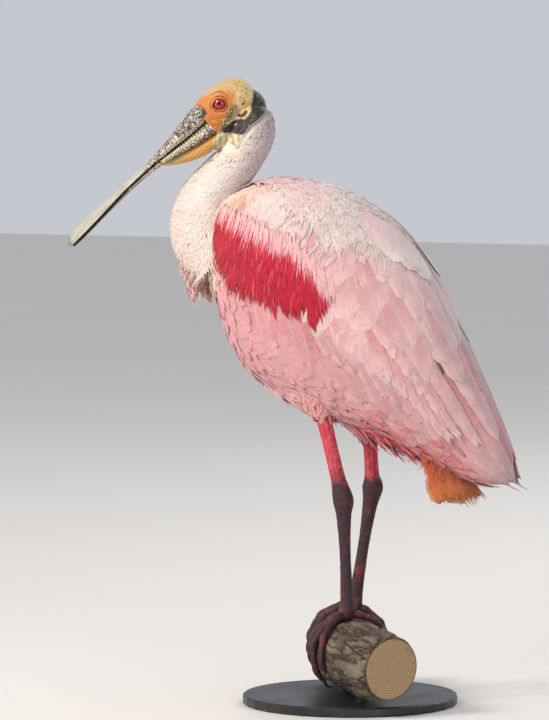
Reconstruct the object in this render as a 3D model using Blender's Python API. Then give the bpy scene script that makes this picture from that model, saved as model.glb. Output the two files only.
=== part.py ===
# Roseate spoonbill, life size, standing on a short length of limb on a display stand.
# Metres, +Z up. The bird faces -X with its left side at -Y, and its sagittal plane is Y = 0.
# Heights of the bird are stated above the top of the limb, where its feet rest.
import math

import bmesh
import bpy
import numpy as np
from mathutils import Matrix, Vector

for old in list(bpy.data.objects):
    bpy.data.objects.remove(old)

# Clearance between neighbouring pieces
GAP = 0.0003

# Display stand and limb
BASE_RADIUS = 0.100
BASE_THICKNESS = 0.009
BASE_BEVEL = 0.0015
BASE_SIDES = 32
ROD_RADIUS = 0.0045
ROD_SIDES = 16
ROD_SPOTS = ((-0.019, 0.056), (0.026, -0.052))
PERCH_RADIUS = 0.034
PERCH_CLEARANCE = 0.006
PERCH_SIDES = 18
PERCH_LENGTH = 0.235
PERCH_TOP = BASE_THICKNESS + PERCH_CLEARANCE + 2 * PERCH_RADIUS

# Bill and head, in the head's own frame: x forward along the bill, y to the left, z to the crown
HEAD_CENTRE = (-0.1165, -0.0045, 0.4655)
HEAD_YAW = math.radians(17)
HEAD_PITCH = math.radians(42)
HEAD_ROLL = math.radians(-8)
EYE_RADIUS = 0.0078
EYE_PLACE = (0.0003, 0.0120, 0.0133)
LID_RADIUS = 0.0072
LID_THICKNESS = 0.0014
LID_OUT = 0.0040
EAR_PLACE = (-0.0100, 0.0175, -0.0075)
EAR_SIZE = (0.0026, 0.0030, 0.0036)
NOSTRIL_PLACE = (0.0340, 0.0058, 0.0228)
NOSTRIL_SIZE = (0.0070, 0.0013, 0.0022)

# Folded wings: one envelope that both wings and the back follow
WING_START = (-0.112, 0.358)
WING_SLOPE = math.radians(-39.6)
WING_EXPONENT = 2.4
WING_LOW_SHARE = 0.62
WING_LOW_LEVEL = 0.35
WING_THICKNESS = 0.010
WING_GIRTH = 0.11
VANE_THICKNESS = 0.0007
VANE_TILT = 0.0006
VANE_SUNK = -0.0024
# Tiers of the folded wing: count, first tip, last tip, reach, slant in degrees, width, tip's lift.
# A tip is its distance along the wing and its share of the way down.
WING_TIERS = (
    (7, (0.105, 1.03), (0.336, 1.03), (0.075, 0.120), (40, 14), (0.026, 0.022), 0.0016),
    (4, (0.350, 0.90), (0.353, 0.14), (0.120, 0.110), (6, 0), (0.023, 0.018), 0.0022),
    (6, (0.060, 0.88), (0.295, 0.80), (0.055, 0.080), (55, 16), (0.028, 0.026), 0.0027),
    (5, (0.040, 0.66), (0.240, 0.58), (0.045, 0.060), (65, 20), (0.027, 0.026), 0.0030),
    (3, (0.040, 0.42), (0.130, 0.44), (0.036, 0.045), (70, 35), (0.026, 0.024), 0.0030),
    (3, (0.225, 0.38), (0.312, 0.44), (0.085, 0.095), (6, 6), (0.026, 0.024), 0.0034),
    (4, (0.090, 0.26), (0.272, 0.18), (0.055, 0.090), (34, 4), (0.024, 0.022), 0.0038),
)

# Legs: side, then X and height of the end of the thigh's feathers, of the ankle and of the foot
LEG_SPREAD = 0.030
FOOT_HEIGHT = 0.0105

MATERIALS = {
    "pale_plumage": ((0.80, 0.70, 0.66), 0.85),
    "pink_plumage": ((0.80, 0.42, 0.42), 0.80),
    "orange_tail": ((0.62, 0.20, 0.05), 0.80),
    "face_skin": ((0.68, 0.42, 0.12), 0.60),
    "bill_horn": ((0.38, 0.34, 0.30), 0.45),
    "eye": ((0.45, 0.02, 0.03), 0.10),
    "leg_skin": ((0.12, 0.03, 0.04), 0.55),
    "bark": ((0.25, 0.19, 0.14), 0.90),
    "stand_metal": ((0.05, 0.05, 0.05), 0.40),
}


def material(name):
    found = bpy.data.materials.get(name)
    if found:
        return found
    colour, roughness = MATERIALS[name]
    made = bpy.data.materials.new(name)
    made.use_nodes = True
    shader = made.node_tree.nodes["Principled BSDF"]
    shader.inputs["Base Color"].default_value = (*colour, 1)
    shader.inputs["Roughness"].default_value = roughness
    shader.inputs["Metallic"].default_value = 0.0
    return made


def smooth_rows(rows, count):
    """Rows of numbers read at count even steps along a smooth curve through them."""
    rows = np.array(rows, float)
    padded = np.vstack([2 * rows[0] - rows[1], rows, 2 * rows[-1] - rows[-2]])
    places = np.linspace(0, len(rows) - 1, count)
    first = np.minimum(places.astype(int), len(rows) - 2)
    u = (places - first)[:, None]
    a, b, c, d = (padded[first + k] for k in range(4))
    return 0.5 * (2 * b + (c - a) * u + (2 * a - 5 * b + 4 * c - d) * u**2 + (3 * b - a - 3 * c + d) * u**3)


def mesh_object(name, points, faces, finish):
    mesh = bpy.data.meshes.new(name)
    mesh.from_pydata([tuple(p) for p in points], [], faces)
    mesh.update()
    made = bpy.data.objects.new(name, mesh)
    bpy.context.scene.collection.objects.link(made)
    made.data.materials.append(material(finish))
    outward(made)
    made.data.shade_smooth()
    return made


def outward(obj):
    shape = bmesh.new()
    shape.from_mesh(obj.data)
    bmesh.ops.recalc_face_normals(shape, faces=shape.faces)
    if shape.calc_volume(signed=True) < 0:
        bmesh.ops.reverse_faces(shape, faces=shape.faces)
    shape.to_mesh(obj.data)
    shape.free()


def loft(name, rings, finish):
    """A closed body through rings of the same number of points, with fan caps."""
    rings = [np.array(ring) for ring in rings]
    sides = len(rings[0])
    points = np.vstack(rings + [rings[0].mean(0)[None], rings[-1].mean(0)[None]])
    start, end = len(points) - 2, len(points) - 1
    faces = []
    for row in range(len(rings) - 1):
        for k in range(sides):
            a, b = row * sides + k, row * sides + (k + 1) % sides
            faces.append((a, b, b + sides, a + sides))
    last = (len(rings) - 1) * sides
    for k in range(sides):
        faces.append((start, (k + 1) % sides, k))
        faces.append((end, last + k, last + (k + 1) % sides))
    return mesh_object(name, points, faces, finish)


def boolean(obj, other, operation, solver="EXACT"):
    """Applies a Boolean of obj with another object, or with a collection, then removes the other."""
    modifier = obj.modifiers.new("boolean", "BOOLEAN")
    modifier.operation = operation
    modifier.solver = solver
    if isinstance(other, bpy.types.Collection):
        modifier.operand_type = "COLLECTION"
        modifier.collection = other
    else:
        modifier.object = other
    bpy.context.view_layer.update()
    graph = bpy.context.evaluated_depsgraph_get()
    result = bpy.data.meshes.new_from_object(obj.evaluated_get(graph))
    obj.modifiers.clear()
    obj.data = result
    others = list(other.objects) if isinstance(other, bpy.types.Collection) else [other]
    for used in others:
        bpy.data.objects.remove(used)
    if isinstance(other, bpy.types.Collection):
        bpy.data.collections.remove(other)
    obj.data.shade_smooth()
    return obj


def cut(obj, *cutters):
    for cutter in cutters:
        boolean(obj, cutter, "DIFFERENCE")
    return largest(obj)


def fuse(obj, pieces, solver="EXACT"):
    """Joins closed pieces to obj in one union and keeps the largest closed surface."""
    group = bpy.data.collections.new("pieces")
    bpy.context.scene.collection.children.link(group)
    for piece in pieces:
        for home in list(piece.users_collection):
            home.objects.unlink(piece)
        group.objects.link(piece)
    boolean(obj, group, "UNION", solver)
    return largest(obj)


def largest(obj):
    """Keeps only the closed surface of the largest volume."""
    shape = bmesh.new()
    shape.from_mesh(obj.data)
    bmesh.ops.remove_doubles(shape, verts=shape.verts, dist=1e-6)
    bmesh.ops.triangulate(shape, faces=shape.faces)
    left, islands = set(shape.faces), []
    while left:
        island, front = set(), [left.pop()]
        while front:
            face = front.pop()
            island.add(face)
            for edge in face.edges:
                for neighbour in edge.link_faces:
                    if neighbour in left:
                        left.discard(neighbour)
                        front.append(neighbour)
        islands.append(island)

    def volume(island):
        return sum(f.verts[0].co.dot(f.verts[1].co.cross(f.verts[2].co)) for f in island) / 6

    islands.sort(key=volume, reverse=True)
    for island in islands[1:]:
        bmesh.ops.delete(shape, geom=list(island), context="FACES")
    loose = [v for v in shape.verts if not v.link_faces]
    bmesh.ops.delete(shape, geom=loose, context="VERTS")
    shape.to_mesh(obj.data)
    shape.free()
    obj.data.shade_smooth()
    return obj


def raised(x, y, height):
    """A point of the bird, from its height above the top of the limb."""
    return Vector((x, y, PERCH_TOP + height))


def tube_rings(stations, count, sides, exponent=2.0, grow=0.0, ends=(0.0, 0.0), span=(0.0, 1.0)):
    """Rings round a spine. A station is x, y, height, half depth in the sagittal plane, half width.
    span keeps a share of the spine's length, and ends moves the first and last ring in along it."""
    rows = smooth_rows(stations, 8 * (len(stations) - 1) + 1)
    places = np.linspace(span[0], span[1], count) * (len(rows) - 1)
    table = np.array([[np.interp(p, range(len(rows)), rows[:, k]) for k in range(5)] for p in places])
    slopes = np.gradient(rows[:, :3], axis=0)
    slopes = np.array([[np.interp(p, range(len(rows)), slopes[:, k]) for k in range(3)] for p in places])
    rings = []
    for index, (row, slope) in enumerate(zip(table, slopes)):
        along = Vector(slope).normalized()
        wide = Vector((0, 1, 0)) - along * along.y
        wide.normalize()
        deep = wide.cross(along)
        centre = raised(*row[:3])
        if index == 0:
            centre += along * ends[0]
        if index == count - 1:
            centre -= along * ends[1]
        ring = []
        for k in range(sides):
            turn = 2 * math.pi * k / sides
            c, s = math.cos(turn), math.sin(turn)
            d = math.copysign(abs(c) ** (2 / exponent), c) * (row[3] + grow)
            w = math.copysign(abs(s) ** (2 / exponent), s) * (row[4] + grow)
            ring.append(centre + deep * d + wide * w)
        rings.append(ring)
    return rings


# x, y, height, half depth, half width from the breast to the root of the tail
TORSO = (
    (-0.131, 0, 0.358, 0.016, 0.016),
    (-0.120, 0, 0.352, 0.040, 0.036),
    (-0.101, 0, 0.342, 0.056, 0.048),
    (-0.075, 0, 0.325, 0.070, 0.055),
    (-0.044, 0, 0.298, 0.081, 0.059),
    (-0.012, 0, 0.261, 0.080, 0.057),
    (0.025, 0, 0.223, 0.057, 0.047),
    (0.055, 0, 0.187, 0.036, 0.033),
    (0.076, 0, 0.164, 0.021, 0.021),
    (0.088, 0, 0.150, 0.008, 0.009),
)
# From the head down the S of the neck into the breast
NECK = (
    (-0.1005, -0.0040, 0.4680, 0.0150, 0.0150),
    (-0.0950, -0.0030, 0.4560, 0.0215, 0.0195),
    (-0.0965, -0.0020, 0.4420, 0.0222, 0.0200),
    (-0.1075, -0.0010, 0.4220, 0.0212, 0.0200),
    (-0.1250, 0.0000, 0.4010, 0.0240, 0.0225),
    (-0.1385, 0.0000, 0.3780, 0.0300, 0.0270),
    (-0.1390, 0.0000, 0.3510, 0.0345, 0.0330),
    (-0.1200, 0.0000, 0.3280, 0.0380, 0.0380),
)
# Feathers of the belly and under the tail: count, place along the torso, turn from its lowest line
# in degrees at both ends of the row, length, width, how far the tip stands off
BELLY_TIERS = (
    (4, 0.60, (-50, 50), 0.042, 0.021, 0.006),
    (5, 0.70, (-60, 60), 0.044, 0.018, 0.008),
    (4, 0.80, (-56, 56), 0.040, 0.017, 0.008),
    (3, 0.36, (12, 38), 0.042, 0.020, 0.005),
    (3, 0.36, (-38, -12), 0.042, 0.020, 0.005),
)
# Wisps at the foot of the neck: root and tip as x, y, height, and radius at the root
BREAST_WISPS = (
    (-0.148, 0.000, 0.338, -0.163, -0.002, 0.312, 0.0045),
    (-0.149, -0.014, 0.334, -0.160, -0.020, 0.305, 0.0045),
    (-0.149, 0.014, 0.334, -0.159, 0.020, 0.306, 0.0045),
    (-0.143, -0.007, 0.326, -0.153, -0.010, 0.296, 0.0048),
    (-0.143, 0.008, 0.326, -0.152, 0.012, 0.297, 0.0048),
    (-0.138, -0.022, 0.324, -0.146, -0.030, 0.294, 0.0045),
    (-0.138, 0.022, 0.324, -0.146, 0.030, 0.294, 0.0045),
    (-0.134, -0.001, 0.318, -0.143, 0.000, 0.288, 0.0048),
    (-0.128, -0.014, 0.312, -0.134, -0.018, 0.284, 0.0045),
    (-0.128, 0.014, 0.312, -0.134, 0.018, 0.284, 0.0045),
)
TORSO_LENGTH = 0.30
TORSO_SIDES = 20
NECK_SIDES = 18
NECK_CUTS = (0.0, 0.34, 0.62, 1.0)


def torso_place(share, turn, lift=0.0):
    """A point on the torso: share along it, turn from its lowest line towards the right side."""
    rows = smooth_rows(TORSO, 65)
    place = share * 64
    row = np.array([np.interp(place, range(65), rows[:, k]) for k in range(5)])
    ahead = np.array([np.interp(min(place + 1, 64), range(65), rows[:, k]) for k in range(5)])
    behind = np.array([np.interp(max(place - 1, 0), range(65), rows[:, k]) for k in range(5)])
    along = Vector(ahead[:3] - behind[:3]).normalized()
    deep = Vector((0, 1, 0)).cross(along)
    c, s = math.cos(turn), math.sin(turn)
    power = 2 / 2.2
    d = math.copysign(abs(c) ** power, c)
    w = math.copysign(abs(s) ** power, s)
    normal = (deep * d / row[3] + Vector((0, w / row[4], 0))).normalized()
    return raised(*row[:3]) + deep * d * row[3] + Vector((0, w * row[4], 0)) + normal * lift, normal


def belly_vanes():
    vanes = []
    for count, share, turns, length, width, lift in BELLY_TIERS:
        for k in range(count):
            turn = math.radians(turns[0] + (turns[1] - turns[0]) * k / (count - 1))
            points, normals, widths = [], [], []
            for part, wide in VANE_SHAPE:
                height = VANE_SUNK + (lift - VANE_SUNK) * part**1.3 + 0.0004 * (k % 2)
                here, normal = torso_place(share + length / TORSO_LENGTH * part, turn, height)
                points.append(here)
                normals.append(normal)
                widths.append(width * wide)
            tilt = math.copysign(VANE_TILT, turns[0] + turns[1] + 0.1)
            vanes.append(blade(points, normals, widths, tilt, "pale_plumage"))
    return vanes


def wisp(root, tip, radius):
    """A soft pointed lock, bowed a little outwards."""
    path = []
    for k in range(4):
        share = k / 3
        point = root.lerp(tip, share)
        path.append(point + Vector((-0.003 * math.sin(share * math.pi), 0, 0)))
    rings = []
    for k, point in enumerate(path):
        along = (path[min(k + 1, 3)] - path[max(k - 1, 0)]).normalized()
        across = along.orthogonal().normalized()
        third = along.cross(across)
        size = radius * (1 - 0.88 * (k / 3) ** 1.5)
        turns = [2 * math.pi * j / 5 for j in range(5)]
        rings.append([point + (across * math.cos(t) + third * math.sin(t)) * size for t in turns])
    return loft("wisp", rings, "pale_plumage")


def breast_wisps():
    return [wisp(raised(*row[:3]), raised(*row[3:6]), row[6]) for row in BREAST_WISPS]


def torso_body(grow=0.0, name="torso"):
    return loft(name, tube_rings(TORSO, 17, TORSO_SIDES, 2.2, grow), "pale_plumage")


def neck_length(name, part):
    start, end = NECK_CUTS[part], NECK_CUTS[part + 1]
    trim = (GAP / 2 if part > 0 else 0, GAP / 2 if part < 2 else 0)
    rings = tube_rings(NECK, 7, NECK_SIDES, 2.0, 0.0, trim, (start, end))
    return loft(name, rings, "pale_plumage")


def neck_cutter(start, end):
    rings = tube_rings(NECK, 18, NECK_SIDES, 2.0, GAP, (0, 0), (start, end))
    return loft("cutter", rings, "pale_plumage")


# Envelope of the folded wings: distance along the wing, ridge, lower edge, half width
ENVELOPE = (
    (-0.022, 0.026, 0.004, 0.026),
    (0.000, 0.063, -0.014, 0.050),
    (0.045, 0.092, -0.043, 0.064),
    (0.090, 0.1035, -0.059, 0.069),
    (0.135, 0.103, -0.058, 0.068),
    (0.190, 0.087, -0.046, 0.061),
    (0.245, 0.061, -0.035, 0.049),
    (0.295, 0.037, -0.030, 0.036),
    (0.332, 0.018, -0.023, 0.026),
    (0.352, 0.003, -0.012, 0.018),
)
ENVELOPE_ROWS = smooth_rows(ENVELOPE, 73)
WING_ALONG = Vector((math.cos(WING_SLOPE), 0, math.sin(WING_SLOPE)))
WING_DORSAL = Vector((-math.sin(WING_SLOPE), 0, math.cos(WING_SLOPE)))
LOW_ANGLE = math.pi - math.acos(WING_LOW_SHARE ** (WING_EXPONENT / 2))


def envelope(s, turn, side=-1):
    """A point on the folded bird's outside: s along the wings, turn from the ridge down the side."""
    rows = ENVELOPE_ROWS
    top, low, wide = (np.interp(s, rows[:, 0], rows[:, k]) for k in (1, 2, 3))
    level = low + WING_LOW_LEVEL * (top - low)
    reach = top - level if turn < math.pi / 2 else (level - low) / WING_LOW_SHARE
    power = 2 / WING_EXPONENT
    up = math.copysign(abs(math.cos(turn)) ** power, math.cos(turn)) * reach + level
    out = abs(math.sin(turn)) ** power * wide
    start = raised(WING_START[0], 0, WING_START[1])
    return start + WING_ALONG * s + WING_DORSAL * up + Vector((0, side * out, 0))


def envelope_frame(s, turn, side=-1):
    """Point, direction along, direction down the side, and outward normal on the envelope."""
    step_s, step_t = 0.0015, 0.02
    here = envelope(s, turn, side)
    ahead = envelope(s + step_s, turn, side) - envelope(s - step_s, turn, side)
    down = envelope(s, turn + step_t, side) - envelope(s, max(turn - step_t, 0.001), side)
    normal = ahead.cross(down).normalized()
    if normal.y * side < 0:
        normal.negate()
    return here, ahead.normalized(), down.normalized(), normal


def shell(name, outer, inner, finish):
    """A closed plate between two grids of points of the same size."""
    outer, inner = np.array(outer), np.array(inner)
    rows, columns = outer.shape[:2]
    points = np.vstack([outer.reshape(-1, 3), inner.reshape(-1, 3)])
    layer = rows * columns
    faces = []
    for i in range(rows - 1):
        for j in range(columns - 1):
            a, b = i * columns + j, i * columns + j + 1
            c, d = b + columns, a + columns
            faces += [(a, b, c), (a, c, d)]
            faces += [(a + layer, c + layer, b + layer), (a + layer, d + layer, c + layer)]
    rim = [j for j in range(columns)]
    rim += [i * columns + columns - 1 for i in range(1, rows)]
    rim += [(rows - 1) * columns + j for j in range(columns - 2, -1, -1)]
    rim += [i * columns for i in range(rows - 2, 0, -1)]
    for a, b in zip(rim, rim[1:] + rim[:1]):
        faces += [(a, a + layer, b + layer), (a, b + layer, b)]
    return mesh_object(name, points, faces, finish)


BACK_START, BACK_END = -0.020, 0.128
BACK_TURN = math.radians(38)


def back_turn(s):
    """How far down each side the back reaches before the wing starts."""
    share = min(max((s - BACK_START) / (BACK_END - BACK_START), 0), 1)
    return BACK_TURN * math.cos(share * math.pi / 2) ** 0.8


def back_body(grow=0.0, name="back"):
    rows, columns, depth = 9, 9, 0.034
    outer, inner = [], []
    for i in range(rows):
        s = BACK_START - grow + (BACK_END - BACK_START + 2 * grow) * i / (rows - 1)
        limit = max(back_turn(s), math.radians(3)) + grow / 0.05
        lines = ([], [])
        for j in range(columns):
            turn = limit * (2 * j / (columns - 1) - 1)
            side = -1 if turn < 0 else 1
            here = envelope(s, abs(turn), side)
            below = here - WING_DORSAL * (depth + grow)
            below.y *= 0.9
            lines[0].append(here + WING_DORSAL * grow)
            lines[1].append(below)
        outer.append(lines[0])
        inner.append(lines[1])
    return shell(name, outer, inner, "pale_plumage")


WING_END = 0.350


def wing_place(side, s, down, lift=0.0):
    """A point of the folded wing: s along it, down from the back's edge (0) to its lower edge (1)."""
    first = max(back_turn(s) + 0.012, math.radians(1.2))
    turn = first + (LOW_ANGLE - first) * down
    here, _, _, normal = envelope_frame(s, turn, side)
    return here + normal * lift, normal


def wing_core(side, name):
    """The folded wing as one smooth plate from its bend to its tip."""
    rows, columns = 14, 9
    outer, inner = [], []
    for i in range(rows):
        share = i / (rows - 1)
        lines = ([], [])
        for j in range(columns):
            down = j / (columns - 1)
            start = -0.017 + 0.019 * down
            here, normal = wing_place(side, start + (WING_END - start) * share, down)
            lines[0].append(here)
            lines[1].append(here - normal * WING_THICKNESS * (1 - 0.7 * share))
        outer.append(lines[0])
        inner.append(lines[1])
    return shell(name, outer, inner, "pink_plumage")


VANE_SHAPE = ((0.0, 0.6), (0.46, 1.0), (0.85, 0.86), (1.0, 0.4))


def blade(points, normals, widths, tilt, finish, thickness=VANE_THICKNESS):
    """A thin closed vane along points, lying across their normals, one edge raised by tilt."""
    top, low = [], []
    for k, (point, normal, width) in enumerate(zip(points, normals, widths)):
        along = points[min(k + 1, len(points) - 1)] - points[max(k - 1, 0)]
        across = normal.cross(along).normalized()
        up = along.cross(across).normalized()
        if up.dot(normal) < 0:
            up.negate()
        sides = [across * (-width / 2) + up * tilt, across * (width / 2) - up * tilt]
        top.append([point + v + up * thickness / 2 for v in sides])
        low.append([point + v - up * thickness / 2 for v in sides])
    return shell("vane", top, low, finish)


def wing_vane(side, tip, reach, slant, width, lifts):
    """A vane of the folded wing ending at tip, with its root reach before it and higher up by slant."""
    points, normals, widths = [], [], []
    for share, wide in VANE_SHAPE:
        back = (1 - share) * reach
        s = tip[0] - back * math.cos(slant)
        down = tip[1] - back * math.sin(slant) / WING_GIRTH
        lift = lifts[0] + (lifts[1] - lifts[0]) * share
        here, normal = wing_place(side, s, min(max(down, 0.02), 1.04), lift)
        points.append(here)
        normals.append(normal)
        widths.append(width * wide)
    return blade(points, normals, widths, side * VANE_TILT, "pink_plumage")


def tier_vanes(side, tier):
    """One tier of vanes: count, first and last tip, reach, slant and width at both, tip lift."""
    count, first, last, reach, slant, width, lift = tier
    vanes = []
    for k in range(count):
        t = k / (count - 1)
        tip = (first[0] + (last[0] - first[0]) * t, first[1] + (last[1] - first[1]) * t)
        long = reach[0] + (reach[1] - reach[0]) * t
        lean = math.radians(slant[0] + (slant[1] - slant[0]) * t)
        wide = width[0] + (width[1] - width[0]) * t
        vanes.append(wing_vane(side, tip, long, lean, wide, (VANE_SUNK, lift + 0.0002 * (k % 2))))
    return vanes


def wing_body(side, name):
    """The wing with its flight feathers and coverts in tiers."""
    wing = wing_core(side, name)
    vanes = [vane for tier in WING_TIERS for vane in tier_vanes(side, tier)]
    return fuse(wing, vanes)


def middle_wall(side):
    """A cutter that keeps one wing on its own side of the sagittal plane."""
    bpy.ops.mesh.primitive_cube_add(size=1)
    wall = bpy.context.object
    wall.scale = (1.0, 0.2, 1.2)
    wall.location = (0, -side * (0.1 - GAP), 0.3)
    bpy.context.view_layer.update()
    wall.data.transform(wall.matrix_world)
    wall.matrix_world = Matrix.Identity(4)
    return wall


# Legs: x and height at the thigh's root, the end of its feathers, the ankle and the foot
LEGS = {
    "left": (-1, ((-0.032, 0.232), (-0.018, 0.190), (0.002, 0.110), (0.006, FOOT_HEIGHT))),
    "right": (1, ((-0.004, 0.216), (0.010, 0.165), (0.013, 0.116), (-0.004, FOOT_HEIGHT))),
}


def thigh(side, places, name, grow=0.0):
    (rx, rz), (ex, ez) = places[:2]
    y = side * LEG_SPREAD
    stations = (
        (rx - 0.010, y * 0.9, rz + 0.020, 0.030, 0.018),
        (rx, y, rz, 0.029, 0.018),
        ((rx + ex) / 2, y, (rz + ez) / 2, 0.022, 0.016),
        (ex, y, ez, 0.0115, 0.0105),
        (ex + 0.002, y, ez - 0.005, 0.0085, 0.0080),
    )
    return loft(name, tube_rings(stations, 9, 18, 2.0, grow, (-grow, -grow)), "pink_plumage")


def shank(side, places, name):
    """The bare leg from the thigh's feathers over the ankle to the foot."""
    (_, _), (ex, ez), (ax, az), (fx, fz) = places
    y = side * LEG_SPREAD
    tx, tz = ax - ex, az - ez
    stations = (
        (ex + 0.02 * tx, y, ez + 0.02 * tz, 0.0072, 0.0066),
        (ex + 0.35 * tx, y, ez + 0.35 * tz, 0.0066, 0.0058),
        (ex + 0.75 * tx, y, ez + 0.75 * tz, 0.0070, 0.0060),
        (ax, y, az, 0.0098, 0.0080),
        (ax + 0.16 * (fx - ax), y, az + 0.16 * (fz - az), 0.0070, 0.0062),
        (ax + 0.5 * (fx - ax), y, az + 0.5 * (fz - az), 0.0052, 0.0046),
        (ax + 0.88 * (fx - ax), y, az + 0.88 * (fz - az), 0.0060, 0.0052),
        (fx, y, fz, 0.0070, 0.0062),
    )
    return stations


def leg_length(stations, part, name):
    """The tibia or the tarsus, parted through the ankle."""
    cuts = (0.0, 3 / 7, 1.0)
    trim = (GAP / 2 if part else 0, GAP / 2 if not part else 0)
    rings = tube_rings(stations, 8, 10, 2.0, 0.0, trim, (cuts[part], cuts[part + 1]))
    return loft(name, rings, "leg_skin")


# The limb's centre line: x, y, height of its middle from its usual level, share of its radius
PERCH = (
    (-0.040, 0.106, -0.003, 0.88),
    (-0.030, 0.085, -0.001, 0.97),
    (-0.014, 0.045, 0.0, 1.0),
    (0.000, 0.0, 0.0, 0.99),
    (0.018, -0.040, 0.0, 1.0),
    (0.044, -0.074, -0.001, 0.98),
    (0.066, -0.092, -0.003, 0.88),
)


PERCH_ROWS = smooth_rows(PERCH, 61)


def perch_row(place):
    place = min(max(place, 0), 60)
    return [np.interp(place, range(61), PERCH_ROWS[:, k]) for k in range(4)]


def perch_frame(t):
    """Centre, direction, level and upward directions and radius of the limb, t from 0 to 1 along it."""
    place = min(max(t, 0), 1) * 60
    here, ahead, behind = perch_row(place), perch_row(place + 1), perch_row(place - 1)
    along = Vector(np.array(ahead[:3]) - np.array(behind[:3])).normalized()
    level = Vector((0, 0, 1)).cross(along).normalized()
    centre = Vector((here[0], here[1], PERCH_TOP - PERCH_RADIUS + here[2]))
    return centre, along, level, along.cross(level), PERCH_RADIUS * here[3]


def perch_place(t, turn, lift):
    """A point lift above the bark, turned from the limb's top towards its front."""
    centre, _, level, up, radius = perch_frame(t)
    return centre + (up * math.cos(turn) - level * math.sin(turn)) * (radius + lift)


def perch_body(grow=0.0, name="perch"):
    rings = []
    for k in range(13):
        centre, _, level, up, radius = perch_frame(k / 12)
        turns = [2 * math.pi * j / PERCH_SIDES for j in range(PERCH_SIDES)]
        rings.append([centre + (level * math.cos(t) + up * math.sin(t)) * (radius + grow) for t in turns])
    return loft(name, rings, "bark")


def perch_spot(x, y):
    """Where along the limb, and how far round from its top, a spot of its upper side lies."""
    spot = Vector((x, y, 0))
    best = min((k / 400 for k in range(401)), key=lambda t: abs((spot - flat(t)).dot(perch_frame(t)[1])))
    _, _, level, _, radius = perch_frame(best)
    return best, -math.asin((spot - flat(best)).dot(level) / radius)


def flat(t):
    centre = perch_frame(t)[0]
    return Vector((centre.x, centre.y, 0))


# Toes: name, start angle over the limb, length, sideways drift at the tip, radius at root and tip
TOES = (
    ("middle", 1, 0.078, 0.000, 0.0042, 0.0026),
    ("inner", 1, 0.062, -0.022, 0.0040, 0.0024),
    ("outer", 1, 0.066, 0.022, 0.0040, 0.0025),
    ("hind", -1, 0.036, -0.003, 0.0036, 0.0024),
)
CLAW_LENGTH = 0.010
TOE_SIDES = 6


def toe(side, foot_x, spec):
    """One toe with its claw, laid over the limb."""
    _, way, length, drift, thick, thin = spec
    place, start = perch_spot(foot_x, side * LEG_SPREAD)
    path, radii = [], []
    steps = 6
    for k in range(steps):
        share = k / (steps - 1)
        radius = thick + (thin - thick) * share + 0.0006 * (k % 2)
        turn = start + way * share * length / (PERCH_RADIUS + thin)
        aside = -drift * math.sin(share * math.pi / 2) / PERCH_LENGTH
        path.append(perch_place(place + aside, turn, radius + 2 * GAP))
        radii.append(radius)
    for k in range(1, 3):
        share = k / 2
        radius = thin * (1 - 0.85 * share) * 0.8
        turn = start + way * (length + CLAW_LENGTH * share) / (PERCH_RADIUS + thin)
        lift = radius + 2 * GAP + 0.0022 * math.sin(share * math.pi)
        path.append(perch_place(place - drift * (1 + 0.08 * share) / PERCH_LENGTH, turn, lift))
        radii.append(radius)
    rings = []
    for k, (point, radius) in enumerate(zip(path, radii)):
        along = (path[min(k + 1, len(path) - 1)] - path[max(k - 1, 0)]).normalized()
        wide = Vector((0, 1, 0)) - along * along.y
        wide.normalize()
        deep = wide.cross(along)
        turns = [0.3 + 2 * math.pi * j / TOE_SIDES for j in range(TOE_SIDES)]
        rings.append([point + (wide * math.cos(t) + deep * math.sin(t)) * radius for t in turns])
    return loft("toe", rings, "leg_skin")


def foot(side, foot_x, name):
    """The pad under the tarsus with its four toes."""
    y = side * LEG_SPREAD
    stations = (
        (foot_x, y, FOOT_HEIGHT - GAP, 0.0072, 0.0064),
        (foot_x - 0.001, y, 0.0050, 0.0078, 0.0070),
        (foot_x - 0.002, y, -0.004, 0.0074, 0.0066),
    )
    body = loft(name, tube_rings(stations, 4, 10), "leg_skin")
    cut(body, perch_body(GAP, "cutter"))
    return fuse(body, [toe(side, foot_x, spec) for spec in TOES])


# Head and bill
def head_matrix():
    """The head's own frame set at the top of the neck, turned to the bird's left."""
    forward = Matrix.Rotation(math.pi, 4, "Z")
    yaw = Matrix.Rotation(HEAD_YAW, 4, "Z")
    pitch = Matrix.Rotation(HEAD_PITCH, 4, "Y")
    roll = Matrix.Rotation(HEAD_ROLL, 4, "X")
    return Matrix.Translation(raised(*HEAD_CENTRE)) @ yaw @ forward @ pitch @ roll


HEAD = head_matrix()
# Skull: forward place, top, bottom, half width
SKULL = (
    (-0.0305, 0.0100, -0.0030, 0.0060),
    (-0.0285, 0.0155, -0.0080, 0.0110),
    (-0.0220, 0.0215, -0.0135, 0.0158),
    (-0.0120, 0.0258, -0.0160, 0.0182),
    (-0.0020, 0.0278, -0.0160, 0.0184),
    (0.0080, 0.0275, -0.0145, 0.0172),
    (0.0150, 0.0265, -0.0125, 0.0158),
    (0.0210, 0.0252, -0.0090, 0.0145),
)
# Upper bill: forward place, ridge height, cutting edge height, half width
UPPER_BILL = (
    (0.0213, 0.0252, 0.0084, 0.0142),
    (0.0320, 0.0243, 0.0084, 0.0132),
    (0.0450, 0.0215, 0.0088, 0.0120),
    (0.0600, 0.0185, 0.0100, 0.0105),
    (0.0800, 0.0158, 0.0110, 0.0092),
    (0.1000, 0.0148, 0.0113, 0.0088),
    (0.1200, 0.0142, 0.0109, 0.0100),
    (0.1400, 0.0136, 0.0098, 0.0148),
    (0.1570, 0.0130, 0.0094, 0.0210),
    (0.1720, 0.0124, 0.0090, 0.0246),
    (0.1830, 0.0114, 0.0082, 0.0232),
    (0.1900, 0.0100, 0.0070, 0.0165),
    (0.1930, 0.0084, 0.0058, 0.0080),
)
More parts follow.
